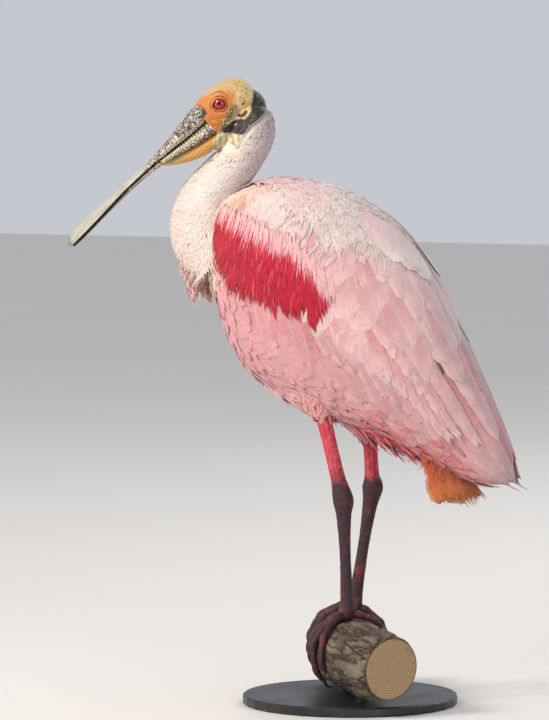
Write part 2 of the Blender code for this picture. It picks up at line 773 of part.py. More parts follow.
# Lower bill: forward place, cutting edge height, keel height, half width
LOWER_BILL = (
    (0.0235, 0.0080, -0.0055, 0.0128),
    (0.0350, 0.0080, -0.0040, 0.0120),
    (0.0500, 0.0084, -0.0005, 0.0108),
    (0.0650, 0.0096, 0.0028, 0.0096),
    (0.0800, 0.0105, 0.0052, 0.0086),
    (0.1000, 0.0108, 0.0066, 0.0082),
    (0.1200, 0.0105, 0.0068, 0.0094),
    (0.1400, 0.0094, 0.0066, 0.0140),
    (0.1570, 0.0090, 0.0064, 0.0198),
    (0.1720, 0.0086, 0.0060, 0.0232),
    (0.1820, 0.0078, 0.0054, 0.0215),
    (0.1880, 0.0066, 0.0044, 0.0150),
    (0.1905, 0.0054, 0.0036, 0.0070),
)
# Throat pouch: forward place, upper height, lower height, half width
POUCH = (
    (0.0080, -0.0060, -0.0150, 0.0095),
    (0.0200, -0.0050, -0.0155, 0.0115),
    (0.0310, -0.0035, -0.0162, 0.0116),
    (0.0420, -0.0015, -0.0160, 0.0106),
    (0.0530, 0.0005, -0.0125, 0.0090),
    (0.0660, 0.0035, -0.0055, 0.0066),
    (0.0740, 0.0050, -0.0005, 0.0046),
    (0.0780, 0.0055, 0.0025, 0.0026),
)


def head_ring(x, top, bottom, wide, sides, exponent=2.0, flat_low=1.0):
    """A ring across the head's frame between two heights; flat_low under 1 squares off its underside."""
    ring = []
    middle, half = (top + bottom) / 2, (top - bottom) / 2
    for k in range(sides):
        turn = 2 * math.pi * k / sides
        c, s = math.cos(turn), math.sin(turn)
        power = 2 / exponent
        z = math.copysign(abs(c) ** power, c) * half
        if z < 0:
            z = -half * abs(c) ** (power * flat_low)
        y = math.copysign(abs(s) ** power, s) * wide
        ring.append(HEAD @ Vector((x, y, middle + z)))
    return ring


def head_loft(name, rows, count, sides, finish, exponent=2.0):
    table = smooth_rows(rows, count)
    return loft(name, [head_ring(x, t, b, w, sides, exponent) for x, t, b, w in table], finish)


def skull(grow=0.0, name="head"):
    rows = [(x, t + grow, b - grow, w + grow) for x, t, b, w in SKULL]
    rows[-1] = (rows[-1][0] + grow, *rows[-1][1:])
    return head_loft(name, rows, 12, 18, "face_skin")


def ball(name, place, size, finish, segments=12, rings=8):
    """An ellipsoid in the head's frame."""
    bpy.ops.mesh.primitive_uv_sphere_add(segments=segments, ring_count=rings, radius=1)
    made = bpy.context.object
    made.name = name
    made.data.materials.append(material(finish))
    made.data.transform(HEAD @ Matrix.Translation(place) @ Matrix.Diagonal((*size, 1)))
    made.data.shade_smooth()
    return made


def eye(side, name, grow=0.0):
    x, y, z = EYE_PLACE
    radius = EYE_RADIUS + grow
    return ball(name, (x, y * side, z), (radius, radius, radius), "eye")


def eyelid(side):
    """A soft ring of skin round the eye."""
    x, y, z = EYE_PLACE
    bpy.ops.mesh.primitive_torus_add(
        major_radius=LID_RADIUS, minor_radius=LID_THICKNESS, major_segments=12, minor_segments=5
    )
    ring = bpy.context.object
    ring.data.materials.append(material("face_skin"))
    tilt = Matrix.Rotation(math.radians(90 - 8 * side), 4, "X")
    place = Matrix.Translation((x, (y + LID_OUT) * side, z))
    ring.data.transform(HEAD @ place @ Matrix.Rotation(math.radians(-6 * side), 4, "Z") @ tilt)
    return ring


def head_body():
    head = skull()
    fuse(head, [eyelid(1), eyelid(-1)])
    cutters = [eye(1, "cutter", GAP), eye(-1, "cutter", GAP)]
    for side in (1, -1):
        place = (EAR_PLACE[0], EAR_PLACE[1] * side, EAR_PLACE[2])
        cutters.append(ball("cutter", place, EAR_SIZE, "eye", 8, 6))
    return cut(head, *cutters)


def upper_bill():
    bill = head_loft("bill_upper", UPPER_BILL, 19, 12, "bill_horn", 2.2)
    x, y, z = NOSTRIL_PLACE
    slits = [ball("cutter", (x, y * side, z), NOSTRIL_SIZE, "eye", 8, 6) for side in (1, -1)]
    return cut(bill, *slits)


def throat_pouch():
    pouch = head_loft("throat_pouch", POUCH, 10, 12, "face_skin")
    lower = [(x, t + GAP, b - GAP, w + GAP) for x, t, b, w in LOWER_BILL]
    cut(pouch, skull(GAP, "cutter"), head_loft("cutter", lower, 18, 12, "bill_horn", 2.2))
    return cut(pouch, neck_cutter(0.0, 0.6))


# Tail's core: x, y, height, half depth, half width
TAIL = (
    (0.064, 0, 0.178, 0.016, 0.016),
    (0.076, 0, 0.161, 0.012, 0.019),
    (0.088, 0, 0.143, 0.007, 0.021),
    (0.096, 0, 0.130, 0.003, 0.020),
)
TAIL_COUNT = 9
TAIL_ROOT = (0.070, 0.172)
TAIL_TIP = (0.1150, 0.1085)
TAIL_SPREAD = 0.035
TAIL_ROOF = 0.0110


def tail_vane(number):
    """One tail feather of the closed fan, the middle ones on top."""
    fan = 2 * number / (TAIL_COUNT - 1) - 1
    root = raised(TAIL_ROOT[0], 0.012 * fan, TAIL_ROOT[1])
    tip = raised(TAIL_TIP[0] - 0.006 * fan * fan, TAIL_SPREAD * fan, TAIL_TIP[1] + 0.003 * abs(fan))
    dorsal = Vector((TAIL_ROOT[1] - TAIL_TIP[1], 0, TAIL_TIP[0] - TAIL_ROOT[0])).normalized()
    level = TAIL_ROOF * (1 - fan * fan) - 0.001 + 0.0003 * (number % 2)
    points, widths = [], []
    for share, wide in VANE_SHAPE:
        points.append(root.lerp(tip, share) + dorsal * (level * (0.4 + 0.6 * share)))
        widths.append(0.0145 * wide)
    tilt = math.copysign(0.0008, fan)
    normals = [dorsal] * len(points)
    return blade(points, normals, widths, tilt, "orange_tail", 0.0009)


def tail_body(name="tail"):
    tail = loft(name, tube_rings(TAIL, 6, 14, 2.4), "orange_tail")
    return fuse(tail, [tail_vane(number) for number in range(TAIL_COUNT)])


def stand():
    bpy.ops.mesh.primitive_cylinder_add(vertices=BASE_SIDES, radius=BASE_RADIUS, depth=BASE_THICKNESS)
    base = bpy.context.object
    base.name = "stand_base"
    base.data.transform(Matrix.Translation((0, 0, BASE_THICKNESS / 2)))
    base.data.materials.append(material("stand_metal"))
    bevel = base.modifiers.new("bevel", "BEVEL")
    bevel.width = BASE_BEVEL
    bevel.segments = 1
    bevel.limit_method = "ANGLE"
    for number, (x, y) in enumerate(ROD_SPOTS, 1):
        bpy.ops.mesh.primitive_cylinder_add(vertices=ROD_SIDES, radius=ROD_RADIUS, depth=1)
        rod = bpy.context.object
        rod.name = f"stand_rod_{number}"
        low, high = BASE_THICKNESS + GAP, PERCH_TOP - PERCH_RADIUS
        place = Matrix.Translation((x, y, (low + high) / 2))
        rod.data.transform(place @ Matrix.Diagonal((1, 1, high - low, 1)))
        rod.data.materials.append(material("stand_metal"))
        cut(rod, perch_body(GAP, "cutter"))


def build():
    stand()
    perch_body()
    torso = torso_body()
    fuse(torso, [back_body()] + belly_vanes())
    neck_lower = neck_length("neck_lower", 2)
    fuse(neck_lower, breast_wisps())
    for neck in (neck_lower, neck_length("neck_middle", 1)):
        cut(neck, torso_body(GAP, "cutter"), back_body(GAP, "cutter"))
    neck_upper = neck_length("neck_upper", 0)
    cut(neck_upper, skull(GAP, "cutter"))
    for label, side in (("left", -1), ("right", 1)):
        wing = wing_body(side, f"wing_{label}")
        cut(wing, torso_body(GAP, "cutter"), back_body(GAP, "cutter"), middle_wall(side))
        cut(wing, neck_cutter(0.3, 1.0), thigh(side, LEGS[label][1], "cutter", GAP))
    tail = tail_body()
    cut(tail, torso_body(GAP, "cutter"))
    for label, (side, places) in LEGS.items():
        stations = shank(side, places, label)
        tibia = leg_length(stations, 0, f"tibia_{label}")
        leg_length(stations, 1, f"tarsus_{label}")
        upper = thigh(side, places, f"thigh_{label}")
        cut(torso, thigh(side, places, "cutter", GAP))
        rings = tube_rings(stations, 8, 10, 2.0, GAP, (0, 0), (0.0, 3 / 7))
        cut(upper, loft("cutter", rings, "leg_skin"))
        paw = foot(side, places[3][0], f"foot_{label}")
        rings = tube_rings(stations, 8, 10, 2.0, GAP, (0, -GAP), (3 / 7, 1.0))
        cut(paw, loft("cutter", rings, "leg_skin"))
    head_body()
    eye(1, "eye_left")
    eye(-1, "eye_right")
    upper_bill()
    head_loft("bill_lower", LOWER_BILL, 18, 12, "bill_horn", 2.2)
    throat_pouch()


build()
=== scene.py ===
# Looks of the roseate spoonbill on its limb and stand: skin, bill, eyes, plumage, legs, bark and light.
import math

import bmesh
import bpy
import numpy as np
from mathutils import Matrix, Vector
from mathutils.bvhtree import BVHTree
from mathutils.kdtree import KDTree


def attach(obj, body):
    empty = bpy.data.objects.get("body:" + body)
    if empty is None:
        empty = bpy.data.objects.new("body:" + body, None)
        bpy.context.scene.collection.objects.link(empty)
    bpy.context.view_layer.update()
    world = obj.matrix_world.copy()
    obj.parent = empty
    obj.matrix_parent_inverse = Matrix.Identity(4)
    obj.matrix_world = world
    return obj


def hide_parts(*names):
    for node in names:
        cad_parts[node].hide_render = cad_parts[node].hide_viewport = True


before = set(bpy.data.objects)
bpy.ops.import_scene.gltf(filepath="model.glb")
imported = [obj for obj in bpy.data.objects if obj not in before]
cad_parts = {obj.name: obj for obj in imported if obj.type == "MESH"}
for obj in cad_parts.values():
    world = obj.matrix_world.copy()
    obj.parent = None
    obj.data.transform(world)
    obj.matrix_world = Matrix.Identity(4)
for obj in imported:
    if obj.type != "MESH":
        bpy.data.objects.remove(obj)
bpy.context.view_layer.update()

# The photograph's view: its size, what one pixel spans on the bird, and the pixel over the frame's origin
PHOTO_WIDTH, PHOTO_HEIGHT = 549, 720
PHOTO_PIXEL = 0.00093
PHOTO_MIDDLE = (PHOTO_WIDTH / 2, PHOTO_HEIGHT / 2)
PHOTO_ORIGIN = (350.0, 615.0)
PHOTO_ORIGIN_HEIGHT = 0.082
VIEW_AZIMUTH = math.radians(17)
VIEW_ELEVATION = math.radians(5)
VIEW_DISTANCE = 6.0
SENSOR = 36.0
FLOOR_HALF = 6
STUDIO_MIDDLE = (-0.03, 0, 0.33)
# Lamps: name, place, size, energy, colour
LAMPS = (
    ("key", (-1.5, -1.7, 1.75), 0.80, 62, (1.0, 0.92, 0.82)),
    ("fill", (1.7, -1.9, 0.7), 1.6, 9, (0.92, 0.95, 1.0)),
    ("rim", (0.6, 1.9, 1.6), 0.9, 16, (1.0, 0.98, 0.95)),
)

# Limb, stand and the level of the feet, as in the solids
BASE_THICKNESS = 0.009
PERCH_CLEARANCE = 0.006
PERCH_RADIUS = 0.034
PERCH_TOP = BASE_THICKNESS + PERCH_CLEARANCE + 2 * PERCH_RADIUS
PERCH_LENGTH = 0.235
# x, y, height of the middle over its usual level, share of the radius
PERCH = (
    (-0.040, 0.106, -0.003, 0.88),
    (-0.030, 0.085, -0.001, 0.97),
    (-0.014, 0.045, 0.0, 1.0),
    (0.000, 0.0, 0.0, 0.99),
    (0.018, -0.040, 0.0, 1.0),
    (0.044, -0.074, -0.001, 0.98),
    (0.066, -0.092, -0.003, 0.88),
)

# Head frame, as in the solids: x forward along the bill, y to the left, z to the crown
HEAD_CENTRE = (-0.1165, -0.0045, 0.4655)
HEAD_YAW, HEAD_PITCH, HEAD_ROLL = math.radians(17), math.radians(42), math.radians(-8)
EYE_RADIUS = 0.0078
EYE_PLACE = (0.0003, 0.0120, 0.0133)
EYE_WAY = (0.06, 0.97, 0.20)
NOSTRIL = (0.034, 0.0058, 0.0228)

# Folded wings' envelope, as in the solids: distance along, top, bottom, half width
WING_START = (-0.112, 0.358)
WING_SLOPE = math.radians(-39.6)
WING_EXPONENT = 2.4
WING_LOW_SHARE = 0.62
WING_LOW_LEVEL = 0.35
ENVELOPE = (
    (-0.022, 0.026, 0.004, 0.026),
    (0.000, 0.063, -0.014, 0.050),
    (0.045, 0.092, -0.043, 0.064),
    (0.090, 0.1035, -0.059, 0.069),
    (0.135, 0.103, -0.058, 0.068),
    (0.190, 0.087, -0.046, 0.061),
    (0.245, 0.061, -0.035, 0.049),
    (0.295, 0.037, -0.030, 0.036),
    (0.332, 0.018, -0.023, 0.026),
    (0.352, 0.003, -0.012, 0.018),
)

# x, y, height, half depth, half width of the body and of the neck, as in the solids
TORSO = (
    (-0.131, 0, 0.358, 0.016, 0.016),
    (-0.120, 0, 0.352, 0.040, 0.036),
    (-0.101, 0, 0.342, 0.056, 0.048),
    (-0.075, 0, 0.325, 0.070, 0.055),
    (-0.044, 0, 0.298, 0.081, 0.059),
    (-0.012, 0, 0.261, 0.080, 0.057),
    (0.025, 0, 0.223, 0.057, 0.047),
    (0.055, 0, 0.187, 0.036, 0.033),
    (0.076, 0, 0.164, 0.021, 0.021),
    (0.088, 0, 0.150, 0.008, 0.009),
)
TORSO_EXPONENT = 2.2
NECK = (
    (-0.1005, -0.0040, 0.4680, 0.0150, 0.0150),
    (-0.0950, -0.0030, 0.4560, 0.0215, 0.0195),
    (-0.0965, -0.0020, 0.4420, 0.0222, 0.0200),
    (-0.1075, -0.0010, 0.4220, 0.0212, 0.0200),
    (-0.1250, 0.0000, 0.4010, 0.0240, 0.0225),
    (-0.1385, 0.0000, 0.3780, 0.0300, 0.0270),
    (-0.1390, 0.0000, 0.3510, 0.0345, 0.0330),
    (-0.1200, 0.0000, 0.3280, 0.0380, 0.0380),
)
# Skull: forward place, top, bottom, half width
SKULL = (
    (-0.0305, 0.0100, -0.0030, 0.0060),
    (-0.0285, 0.0155, -0.0080, 0.0110),
    (-0.0220, 0.0215, -0.0135, 0.0158),
    (-0.0120, 0.0258, -0.0160, 0.0182),
    (-0.0020, 0.0278, -0.0160, 0.0184),
    (0.0080, 0.0275, -0.0145, 0.0172),
    (0.0150, 0.0265, -0.0125, 0.0158),
    (0.0210, 0.0252, -0.0090, 0.0145),
)
# Bill: forward place, upper height, lower height, half width
UPPER_BILL = (
    (0.0150, 0.0256, 0.0082, 0.0146),
    (0.0213, 0.0252, 0.0084, 0.0142),
    (0.0320, 0.0243, 0.0084, 0.0132),
    (0.0450, 0.0215, 0.0088, 0.0120),
    (0.0600, 0.0185, 0.0100, 0.0105),
    (0.0800, 0.0158, 0.0110, 0.0092),
    (0.1000, 0.0148, 0.0113, 0.0088),
    (0.1200, 0.0142, 0.0109, 0.0100),
    (0.1400, 0.0136, 0.0098, 0.0148),
    (0.1570, 0.0130, 0.0094, 0.0210),
    (0.1720, 0.0124, 0.0090, 0.0246),
    (0.1830, 0.0114, 0.0082, 0.0232),
    (0.1900, 0.0100, 0.0070, 0.0165),
    (0.1930, 0.0084, 0.0058, 0.0080),
)
LOWER_BILL = (
    (0.0180, 0.0078, -0.0060, 0.0130),
    (0.0235, 0.0080, -0.0055, 0.0128),
    (0.0350, 0.0080, -0.0040, 0.0120),
    (0.0500, 0.0084, -0.0005, 0.0108),
    (0.0650, 0.0096, 0.0028, 0.0096),
    (0.0800, 0.0105, 0.0052, 0.0086),
    (0.1000, 0.0108, 0.0066, 0.0082),
    (0.1200, 0.0105, 0.0068, 0.0094),
    (0.1400, 0.0094, 0.0066, 0.0140),
    (0.1570, 0.0090, 0.0064, 0.0198),
    (0.1720, 0.0086, 0.0060, 0.0232),
    (0.1820, 0.0078, 0.0054, 0.0215),
    (0.1880, 0.0066, 0.0044, 0.0150),
    (0.1905, 0.0054, 0.0036, 0.0070),
)
POUCH = (
    (0.0000, -0.0070, -0.0140, 0.0080),
    (0.0080, -0.0060, -0.0150, 0.0095),
    (0.0200, -0.0050, -0.0155, 0.0115),
    (0.0310, -0.0035, -0.0162, 0.0116),
    (0.0420, -0.0015, -0.0160, 0.0106),
    (0.0530, 0.0005, -0.0125, 0.0090),
    (0.0660, 0.0035, -0.0055, 0.0066),
    (0.0740, 0.0050, -0.0005, 0.0046),
    (0.0780, 0.0055, 0.0025, 0.0026),
)

# Legs, as in the solids: side, then x and height at the thigh's root, feathers' end, ankle and foot
LEG_SPREAD = 0.030
FOOT_HEIGHT = 0.0105
LEGS = {
    "left": (-1, ((-0.032, 0.232), (-0.018, 0.190), (0.002, 0.110), (0.006, FOOT_HEIGHT))),
    "right": (1, ((-0.004, 0.216), (0.010, 0.165), (0.013, 0.116), (-0.004, FOOT_HEIGHT))),
}
# Toes: name, way round the limb, length, drift along the limb, radius at root and tip
TOES = (
    ("middle", 1, 0.078, 0.000, 0.0042, 0.0026),
    ("inner", 1, 0.062, -0.022, 0.0040, 0.0024),
    ("outer", 1, 0.066, 0.022, 0.0040, 0.0025),
    ("hind", -1, 0.036, -0.003, 0.0036, 0.0024),
)
CLAW_LENGTH = 0.010
SCUTE_PITCH = 0.0021

# Tail's fan: x and height over the limb at its root and tip, and half its breadth
TAIL_ROOT = (0.070, 0.172)
TAIL_TIP = (0.1150, 0.1085)
TAIL_SPREAD = 0.035

rng = np.random.default_rng(11)


def linear(r, g, b):
    """A colour as it is seen on a screen, in 0 to 255, to linear light."""
    parts = np.array([r, g, b], float) / 255
    return np.where(parts <= 0.04045, parts / 12.92, ((parts + 0.055) / 1.055) ** 2.4)


# Plumage and skin colours
CREAM = linear(238, 222, 206)
WHITE = linear(244, 230, 224)
SHELL = linear(238, 200, 198)
PINK = linear(229, 154, 159)
ROSE = linear(222, 138, 144)
CRIMSON = linear(208, 22, 54)
DEEP_CRIMSON = linear(168, 8, 40)
GREY = linear(204, 186, 184)
# The back's lilac-grey as it looks in shade, painted on the feathers along the ridge
SHADED_LILAC = linear(176, 146, 156)
STRAW = linear(232, 192, 138)
BELLY_RED = linear(204, 52, 68)
ORANGE = linear(216, 108, 44)
RUST = linear(180, 80, 36)


def mix(a, b, share):
    share = np.clip(np.asarray(share, float), 0, 1)[..., None]
    return np.asarray(a) * (1 - share) + np.asarray(b) * share


def ramp(value, low, high):
    """0 below low, 1 above high, smooth between."""
    share = np.clip((np.asarray(value, float) - low) / (high - low), 0, 1)
    return share * share * (3 - 2 * share)


def smooth_rows(rows, count):
    """Rows of numbers read at count even steps along a smooth curve through them."""
    rows = np.array(rows, float)
    padded = np.vstack([2 * rows[0] - rows[1], rows, 2 * rows[-1] - rows[-2]])
    places = np.linspace(0, len(rows) - 1, count)
    first = np.minimum(places.astype(int), len(rows) - 2)
    u = (places - first)[:, None]
    a, b, c, d = (padded[first + k] for k in range(4))
    return 0.5 * (2 * b + (c - a) * u + (2 * a - 5 * b + 4 * c - d) * u**2 + (3 * b - a - 3 * c + d) * u**3)


def read(table, places):
    """Columns of a table read at fractional rows, carried on straight past its ends."""
    top = len(table) - 1
    places = np.asarray(places, float)
    inside = np.clip(places, 0, top)
    low = np.minimum(inside.astype(int), top - 1)
    share = (inside - low)[..., None]
    found = table[low] * (1 - share) + table[low + 1] * share
    beyond = (places - inside)[..., None]
    edge = np.where(places[..., None] > top, table[top] - table[top - 1], table[1] - table[0])
    return found + beyond * edge


def power(value, exponent):
    return np.sign(value) * np.abs(value) ** exponent


# Surfaces that feathers grow on. Each takes chart places a, b to points. Its chart says which a and b
# the bake map covers, then the left, bottom, width and height of their place on it. Its sign turns the
# normal outward.
WHOLE_MAP = (0.0, 0.0, 1.0, 1.0)
TUBE_STEPS = 96
CLOAK_STEPS = 72


class Tube:
    """The surface round a spine of stations: t from 0 to 1 along it, turn from its underside."""

    sign = -1

    def __init__(self, stations, exponent, shrink=0.0, end=1.1, patch=WHOLE_MAP):
        rows = smooth_rows(stations, TUBE_STEPS + 1)
        rows[:, 3:] -= shrink
        slopes = np.gradient(rows[:, :3], axis=0)
        slopes /= np.linalg.norm(slopes, axis=1)[:, None]
        wide = np.array([0, 1.0, 0]) - slopes * slopes[:, 1:2]
        wide /= np.linalg.norm(wide, axis=1)[:, None]
        deep = np.cross(wide, slopes)
        rows[:, 2] += PERCH_TOP
        self.table = np.hstack([rows, wide, deep])
        self.exponent = exponent
        self.chart = (-0.05, end, -math.pi, math.pi, *patch)

    def __call__(self, t, turn):
        row = read(self.table, np.asarray(t) * TUBE_STEPS)
        c, s = power(np.cos(turn), 2 / self.exponent), power(np.sin(turn), 2 / self.exponent)
        deep, wide = row[..., 8:11], row[..., 5:8]
        half = np.maximum(row[..., 3:5], 0.0015)
        return row[..., :3] + deep * (c * half[..., 0])[..., None] + wide * (s * half[..., 1])[..., None]


class Cloak:
    """The folded wings and back: s metres along them, turn from the ridge, to the left if negative."""

    chart = (-0.03, 0.42, -math.pi, math.pi, *WHOLE_MAP)
    sign = 1

    def __init__(self, shrink):
        self.rows = smooth_rows(ENVELOPE, CLOAK_STEPS + 1)
        self.shrink = shrink

    def __call__(self, s, turn):
        s, turn = np.broadcast_arrays(np.asarray(s, float), np.asarray(turn, float))
        first, last = self.rows[0, 0], self.rows[-1, 0]
        step = (last - first) / CLOAK_STEPS
        places = np.interp(s, self.rows[:, 0], np.arange(CLOAK_STEPS + 1))
        places = np.where(s > last, CLOAK_STEPS + (s - last) / step, places)
        places = np.where(s < first, (s - first) / step, places)
        row = read(self.rows, places)
        top, low = row[..., 1] - self.shrink, row[..., 2] + self.shrink
        wide = np.maximum(row[..., 3] - self.shrink, 0.002)
        level = low + WING_LOW_LEVEL * (top - low)
        c, d = np.cos(turn), np.sin(turn)
        reach = np.where(c > 0, top - level, (level - low) / WING_LOW_SHARE)
        up = power(c, 2 / WING_EXPONENT) * reach + level
        out = power(d, 2 / WING_EXPONENT) * wide
        x = WING_START[0] + np.cos(WING_SLOPE) * s - np.sin(WING_SLOPE) * up
        z = PERCH_TOP + WING_START[1] + np.sin(WING_SLOPE) * s + np.cos(WING_SLOPE) * up
        return np.stack([x, out, z], -1)


def slopes_of(surface, a, b, step_a, step_b):
    """Vectors along each chart direction for one unit of it, and the outward normal."""
    along = (surface(a + step_a, b) - surface(a - step_a, b)) / (2 * step_a)
    sideways = (surface(a, b + step_b) - surface(a, b - step_b)) / (2 * step_b)
    normal = np.cross(along, sideways) * surface.sign
    normal /= np.maximum(np.linalg.norm(normal, axis=-1), 1e-12)[..., None]
    return along, sideways, normal


def vane(rows, columns, profile):
    """A closed feather blade in its own plane: u across from -1 to 1, v along from 0 to 1.
    profile gives the width at v. Its top can be arched over a flat underside."""
    v = np.linspace(0, 1, rows)
    u = np.linspace(-1, 1, columns)
    across, along = np.meshgrid(u, v)
    width = np.interp(along, *np.array(profile).T)
    faces = []
    for i in range(rows - 1):
        for j in range(columns - 1):
            a = i * columns + j
            faces.append((a, a + 1, a + columns + 1))
            faces.append((a, a + columns + 1, a + columns))
        low, high = i * columns, (i + 1) * columns
        faces.append((low, high + columns - 1, low + columns - 1))
        faces.append((low, high, high + columns - 1))
    for j in range(1, columns - 1):
        faces.append((0, j + 1, j))
        last = (rows - 1) * columns
        faces.append((last, last + j, last + j + 1))
    return {
        "u": across.ravel(),
        "v": along.ravel(),
        "width": width.ravel(),
        "faces": np.array(faces),
        "rim": np.abs(across.ravel()) > 0.99,
    }


# Outlines of the blades, as share of the length and share of the width
SOFT = ((0, 0.5), (0.25, 0.85), (0.55, 1.0), (0.8, 0.86), (0.93, 0.55), (1, 0.12))
ROUND = ((0, 0.45), (0.2, 0.8), (0.5, 1.0), (0.78, 1.0), (0.92, 0.76), (0.98, 0.4), (1, 0.14))
BLUNT = ((0, 0.5), (0.2, 0.85), (0.5, 1.0), (0.86, 0.96), (0.96, 0.72), (1, 0.34))
NARROW = ((0, 0.7), (0.3, 1.0), (0.7, 0.7), (0.9, 0.36), (1, 0.05))
VANES = {
    "small": vane(4, 3, SOFT),
    "hair": vane(5, 3, NARROW),
    "soft": vane(7, 5, SOFT),
    "round": vane(12, 7, ROUND),
    "long": vane(18, 7, BLUNT),
}
# Broad blades have a paler rim, and a ragged blade's tip is shortened by a share of its rag
BROAD_BLADE_POINTS = 40
PALE_RIM = 0.30
TIP_RAG = 0.35
# Half the size of a feather's place on the bake map, and the map's free margin
PATCH_HALF = 0.0015
PATCH_MARGIN = 0.004
SHARP_ANGLE = math.radians(80)


class Coat:
    """One piece of plumage: feathers gathered from several surfaces, then made one mesh."""

    def __init__(self, name):
        self.name = name
        self.points, self.faces, self.tints, self.local, self.patch = [], [], [], [], []
        self.count = 0
        self.roots, self.root_tints = [], []

    def add(self, surface, a, b, heading, length, width, kind, tint, tip_tint, lift, arch=0.0004,
            tilt=0.0, rag=0.0, bend=0.0, steps=(0.002, 0.02)):
        """Feathers rooted at chart places a, b. heading turns from the first chart direction to the second.
        lift is the height over the surface at root and tip. Slopes are taken over the steps."""
        n = len(a)
        shape = VANES[kind]
        u, v = shape["u"][None, :], shape["v"][None, :]
        each = lambda value: np.broadcast_to(np.asarray(value, float), (n,))[:, None]
        heading, length, width = each(heading), each(length), each(width)
        along, sideways, _ = slopes_of(surface, a, b, *steps)
        size_a, size_b = np.linalg.norm(along, axis=-1)[:, None], np.linalg.norm(sideways, axis=-1)[:, None]
        swing = heading + each(bend) * v
        x = length * v
        y = width / 2 * u * shape["width"][None, :]
        if rag:
            loose = shape["rim"][None, :] * ramp(v, 0.25, 0.8)
            y = y * (1 - rag * rng.random((n, u.size)) * loose)
            x = x * (1 - TIP_RAG * rag * rng.random((n, u.size)) * ramp(v, 0.75, 1.0))
        da = (x * np.cos(swing) - y * np.sin(swing)) / np.maximum(size_a, 1e-4)
        db = (x * np.sin(swing) + y * np.cos(swing)) / np.maximum(size_b, 1e-4)
        pa, pb = a[:, None] + da, b[:, None] + db
        base = surface(pa, pb)
        _, _, normal = slopes_of(surface, pa, pb, *steps)
        low, high = each(lift[0]), each(lift[1])
        height = low + (high - low) * v + each(arch) * (1 - u * u) + each(tilt) * u
        points = base + normal * height[..., None]
        faces = shape["faces"][:, ::-1] if surface.sign > 0 else shape["faces"]
        starts = self.count + np.arange(n) * u.size
        self.faces.append((faces[None] + starts[:, None, None]).reshape(-1, 3))
        self.count += n * u.size
        self.points.append(points.reshape(-1, 3))
        tint = np.broadcast_to(np.asarray(tint, float), (n, 3))
        tip_tint = np.broadcast_to(np.asarray(tip_tint, float), (n, 3))
        blend = (v**1.5)[..., None]
        colour = tint[:, None] * (1 - blend) + tip_tint[:, None] * blend
        pale = PALE_RIM * shape["rim"] * ramp(shape["v"], 0.2, 0.6) * (u.size > BROAD_BLADE_POINTS)
        pale = pale[None, :, None]
        self.tints.append((colour + (WHITE - colour) * pale).reshape(-1, 3))
        self.local.append(np.stack([y + 0 * x, x + 0 * y], -1).reshape(-1, 2))
        a0, a1, b0, b1, left, bottom, wide, tall = surface.chart
        place = np.stack([left + wide * (a - a0) / (a1 - a0), bottom + tall * (b - b0) / (b1 - b0)], -1)
        inside = np.stack([u + 0 * v, 2 * v - 1 + 0 * u], -1) * PATCH_HALF
        place = PATCH_MARGIN + (1 - 2 * PATCH_MARGIN) * np.clip(place[:, None], 0, 1)
        self.patch.append((place + inside).reshape(-1, 2))
        self.roots.append(points[:, 0])
        self.root_tints.append(tint)

    def build(self, finish, slot):
        points, faces = np.vstack(self.points), np.vstack(self.faces)
        piece = mesh_piece(self.name, points, faces)
        piece.data.set_sharp_from_angle(angle=SHARP_ANGLE)
        paint(piece, np.vstack(self.tints))
        loops = faces.ravel()
        for label, values in (("OFBake", np.vstack(self.patch)), ("vane", np.vstack(self.local))):
            layer = piece.data.uv_layers.new(name=label)
            layer.data.foreach_set("uv", values[loops].astype(np.float32).ravel())
        piece.data.uv_layers.active = piece.data.uv_layers["OFBake"]
        piece.data.materials.append(finish)
        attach(piece, "root")
        print(self.name, len(faces), "triangles")


def mesh_piece(name, points, faces, smooth=True):
    mesh = bpy.data.meshes.new(name)
    points, faces = np.asarray(points, np.float32), np.asarray(faces, np.int32)
    mesh.vertices.add(len(points))
    mesh.vertices.foreach_set("co", points.ravel())
    corners = faces.shape[1]
    mesh.loops.add(faces.size)
    mesh.loops.foreach_set("vertex_index", faces.ravel())
    mesh.polygons.add(len(faces))
    mesh.polygons.foreach_set("loop_start", np.arange(0, faces.size, corners, dtype=np.int32))
    mesh.update(calc_edges=True)
    mesh.validate()
    if smooth:
        mesh.shade_smooth()
    piece = bpy.data.objects.new(name, mesh)
    bpy.context.scene.collection.objects.link(piece)
    return piece


def paint(piece, colours):
    """The piece's tint: a colour for each vertex, in linear light."""
    colours = np.asarray(colours, float)
    layer = piece.data.color_attributes.new("tint", "FLOAT_COLOR", "POINT")
    full = np.hstack([colours, np.ones((len(colours), 1))]).astype(np.float32)
    layer.data.foreach_set("color", full.ravel())


def mark(piece, name, values):
    """A number for each vertex."""
    layer = piece.data.attributes.new(name, "FLOAT", "POINT")
    layer.data.foreach_set("value", np.asarray(values, np.float32).ravel())


def points_of(piece):
    found = np.empty(len(piece.data.vertices) * 3, np.float32)
    piece.data.vertices.foreach_get("co", found)
    return found.reshape(-1, 3).astype(float)


def move_points(piece, points):
    piece.data.vertices.foreach_set("co", np.asarray(points, np.float32).ravel())
    piece.data.update()


def grid_faces(rows, columns):
    """Quads of a grid of points, closed round its columns, with the first and last rows left open."""
    i, j = np.meshgrid(np.arange(rows - 1), np.arange(columns), indexing="ij")
    a = i * columns + j
    b = i * columns + (j + 1) % columns
    return np.stack([a, b, b + columns, a + columns], -1).reshape(-1, 4)


def ring_grid(rows, columns, start=0.0, end=1.0):
    """Grids of even places from start to end, and of turns round them."""
    turn = np.linspace(0, 2 * math.pi, columns, endpoint=False)
    return np.meshgrid(np.linspace(start, end, rows), turn, indexing="ij")


def with_ends(grid):
    """All points of a stack of rings, then the middles of its first and last ring."""
    return np.vstack([grid.reshape(-1, 3), grid[0].mean(0)[None], grid[-1].mean(0)[None]])


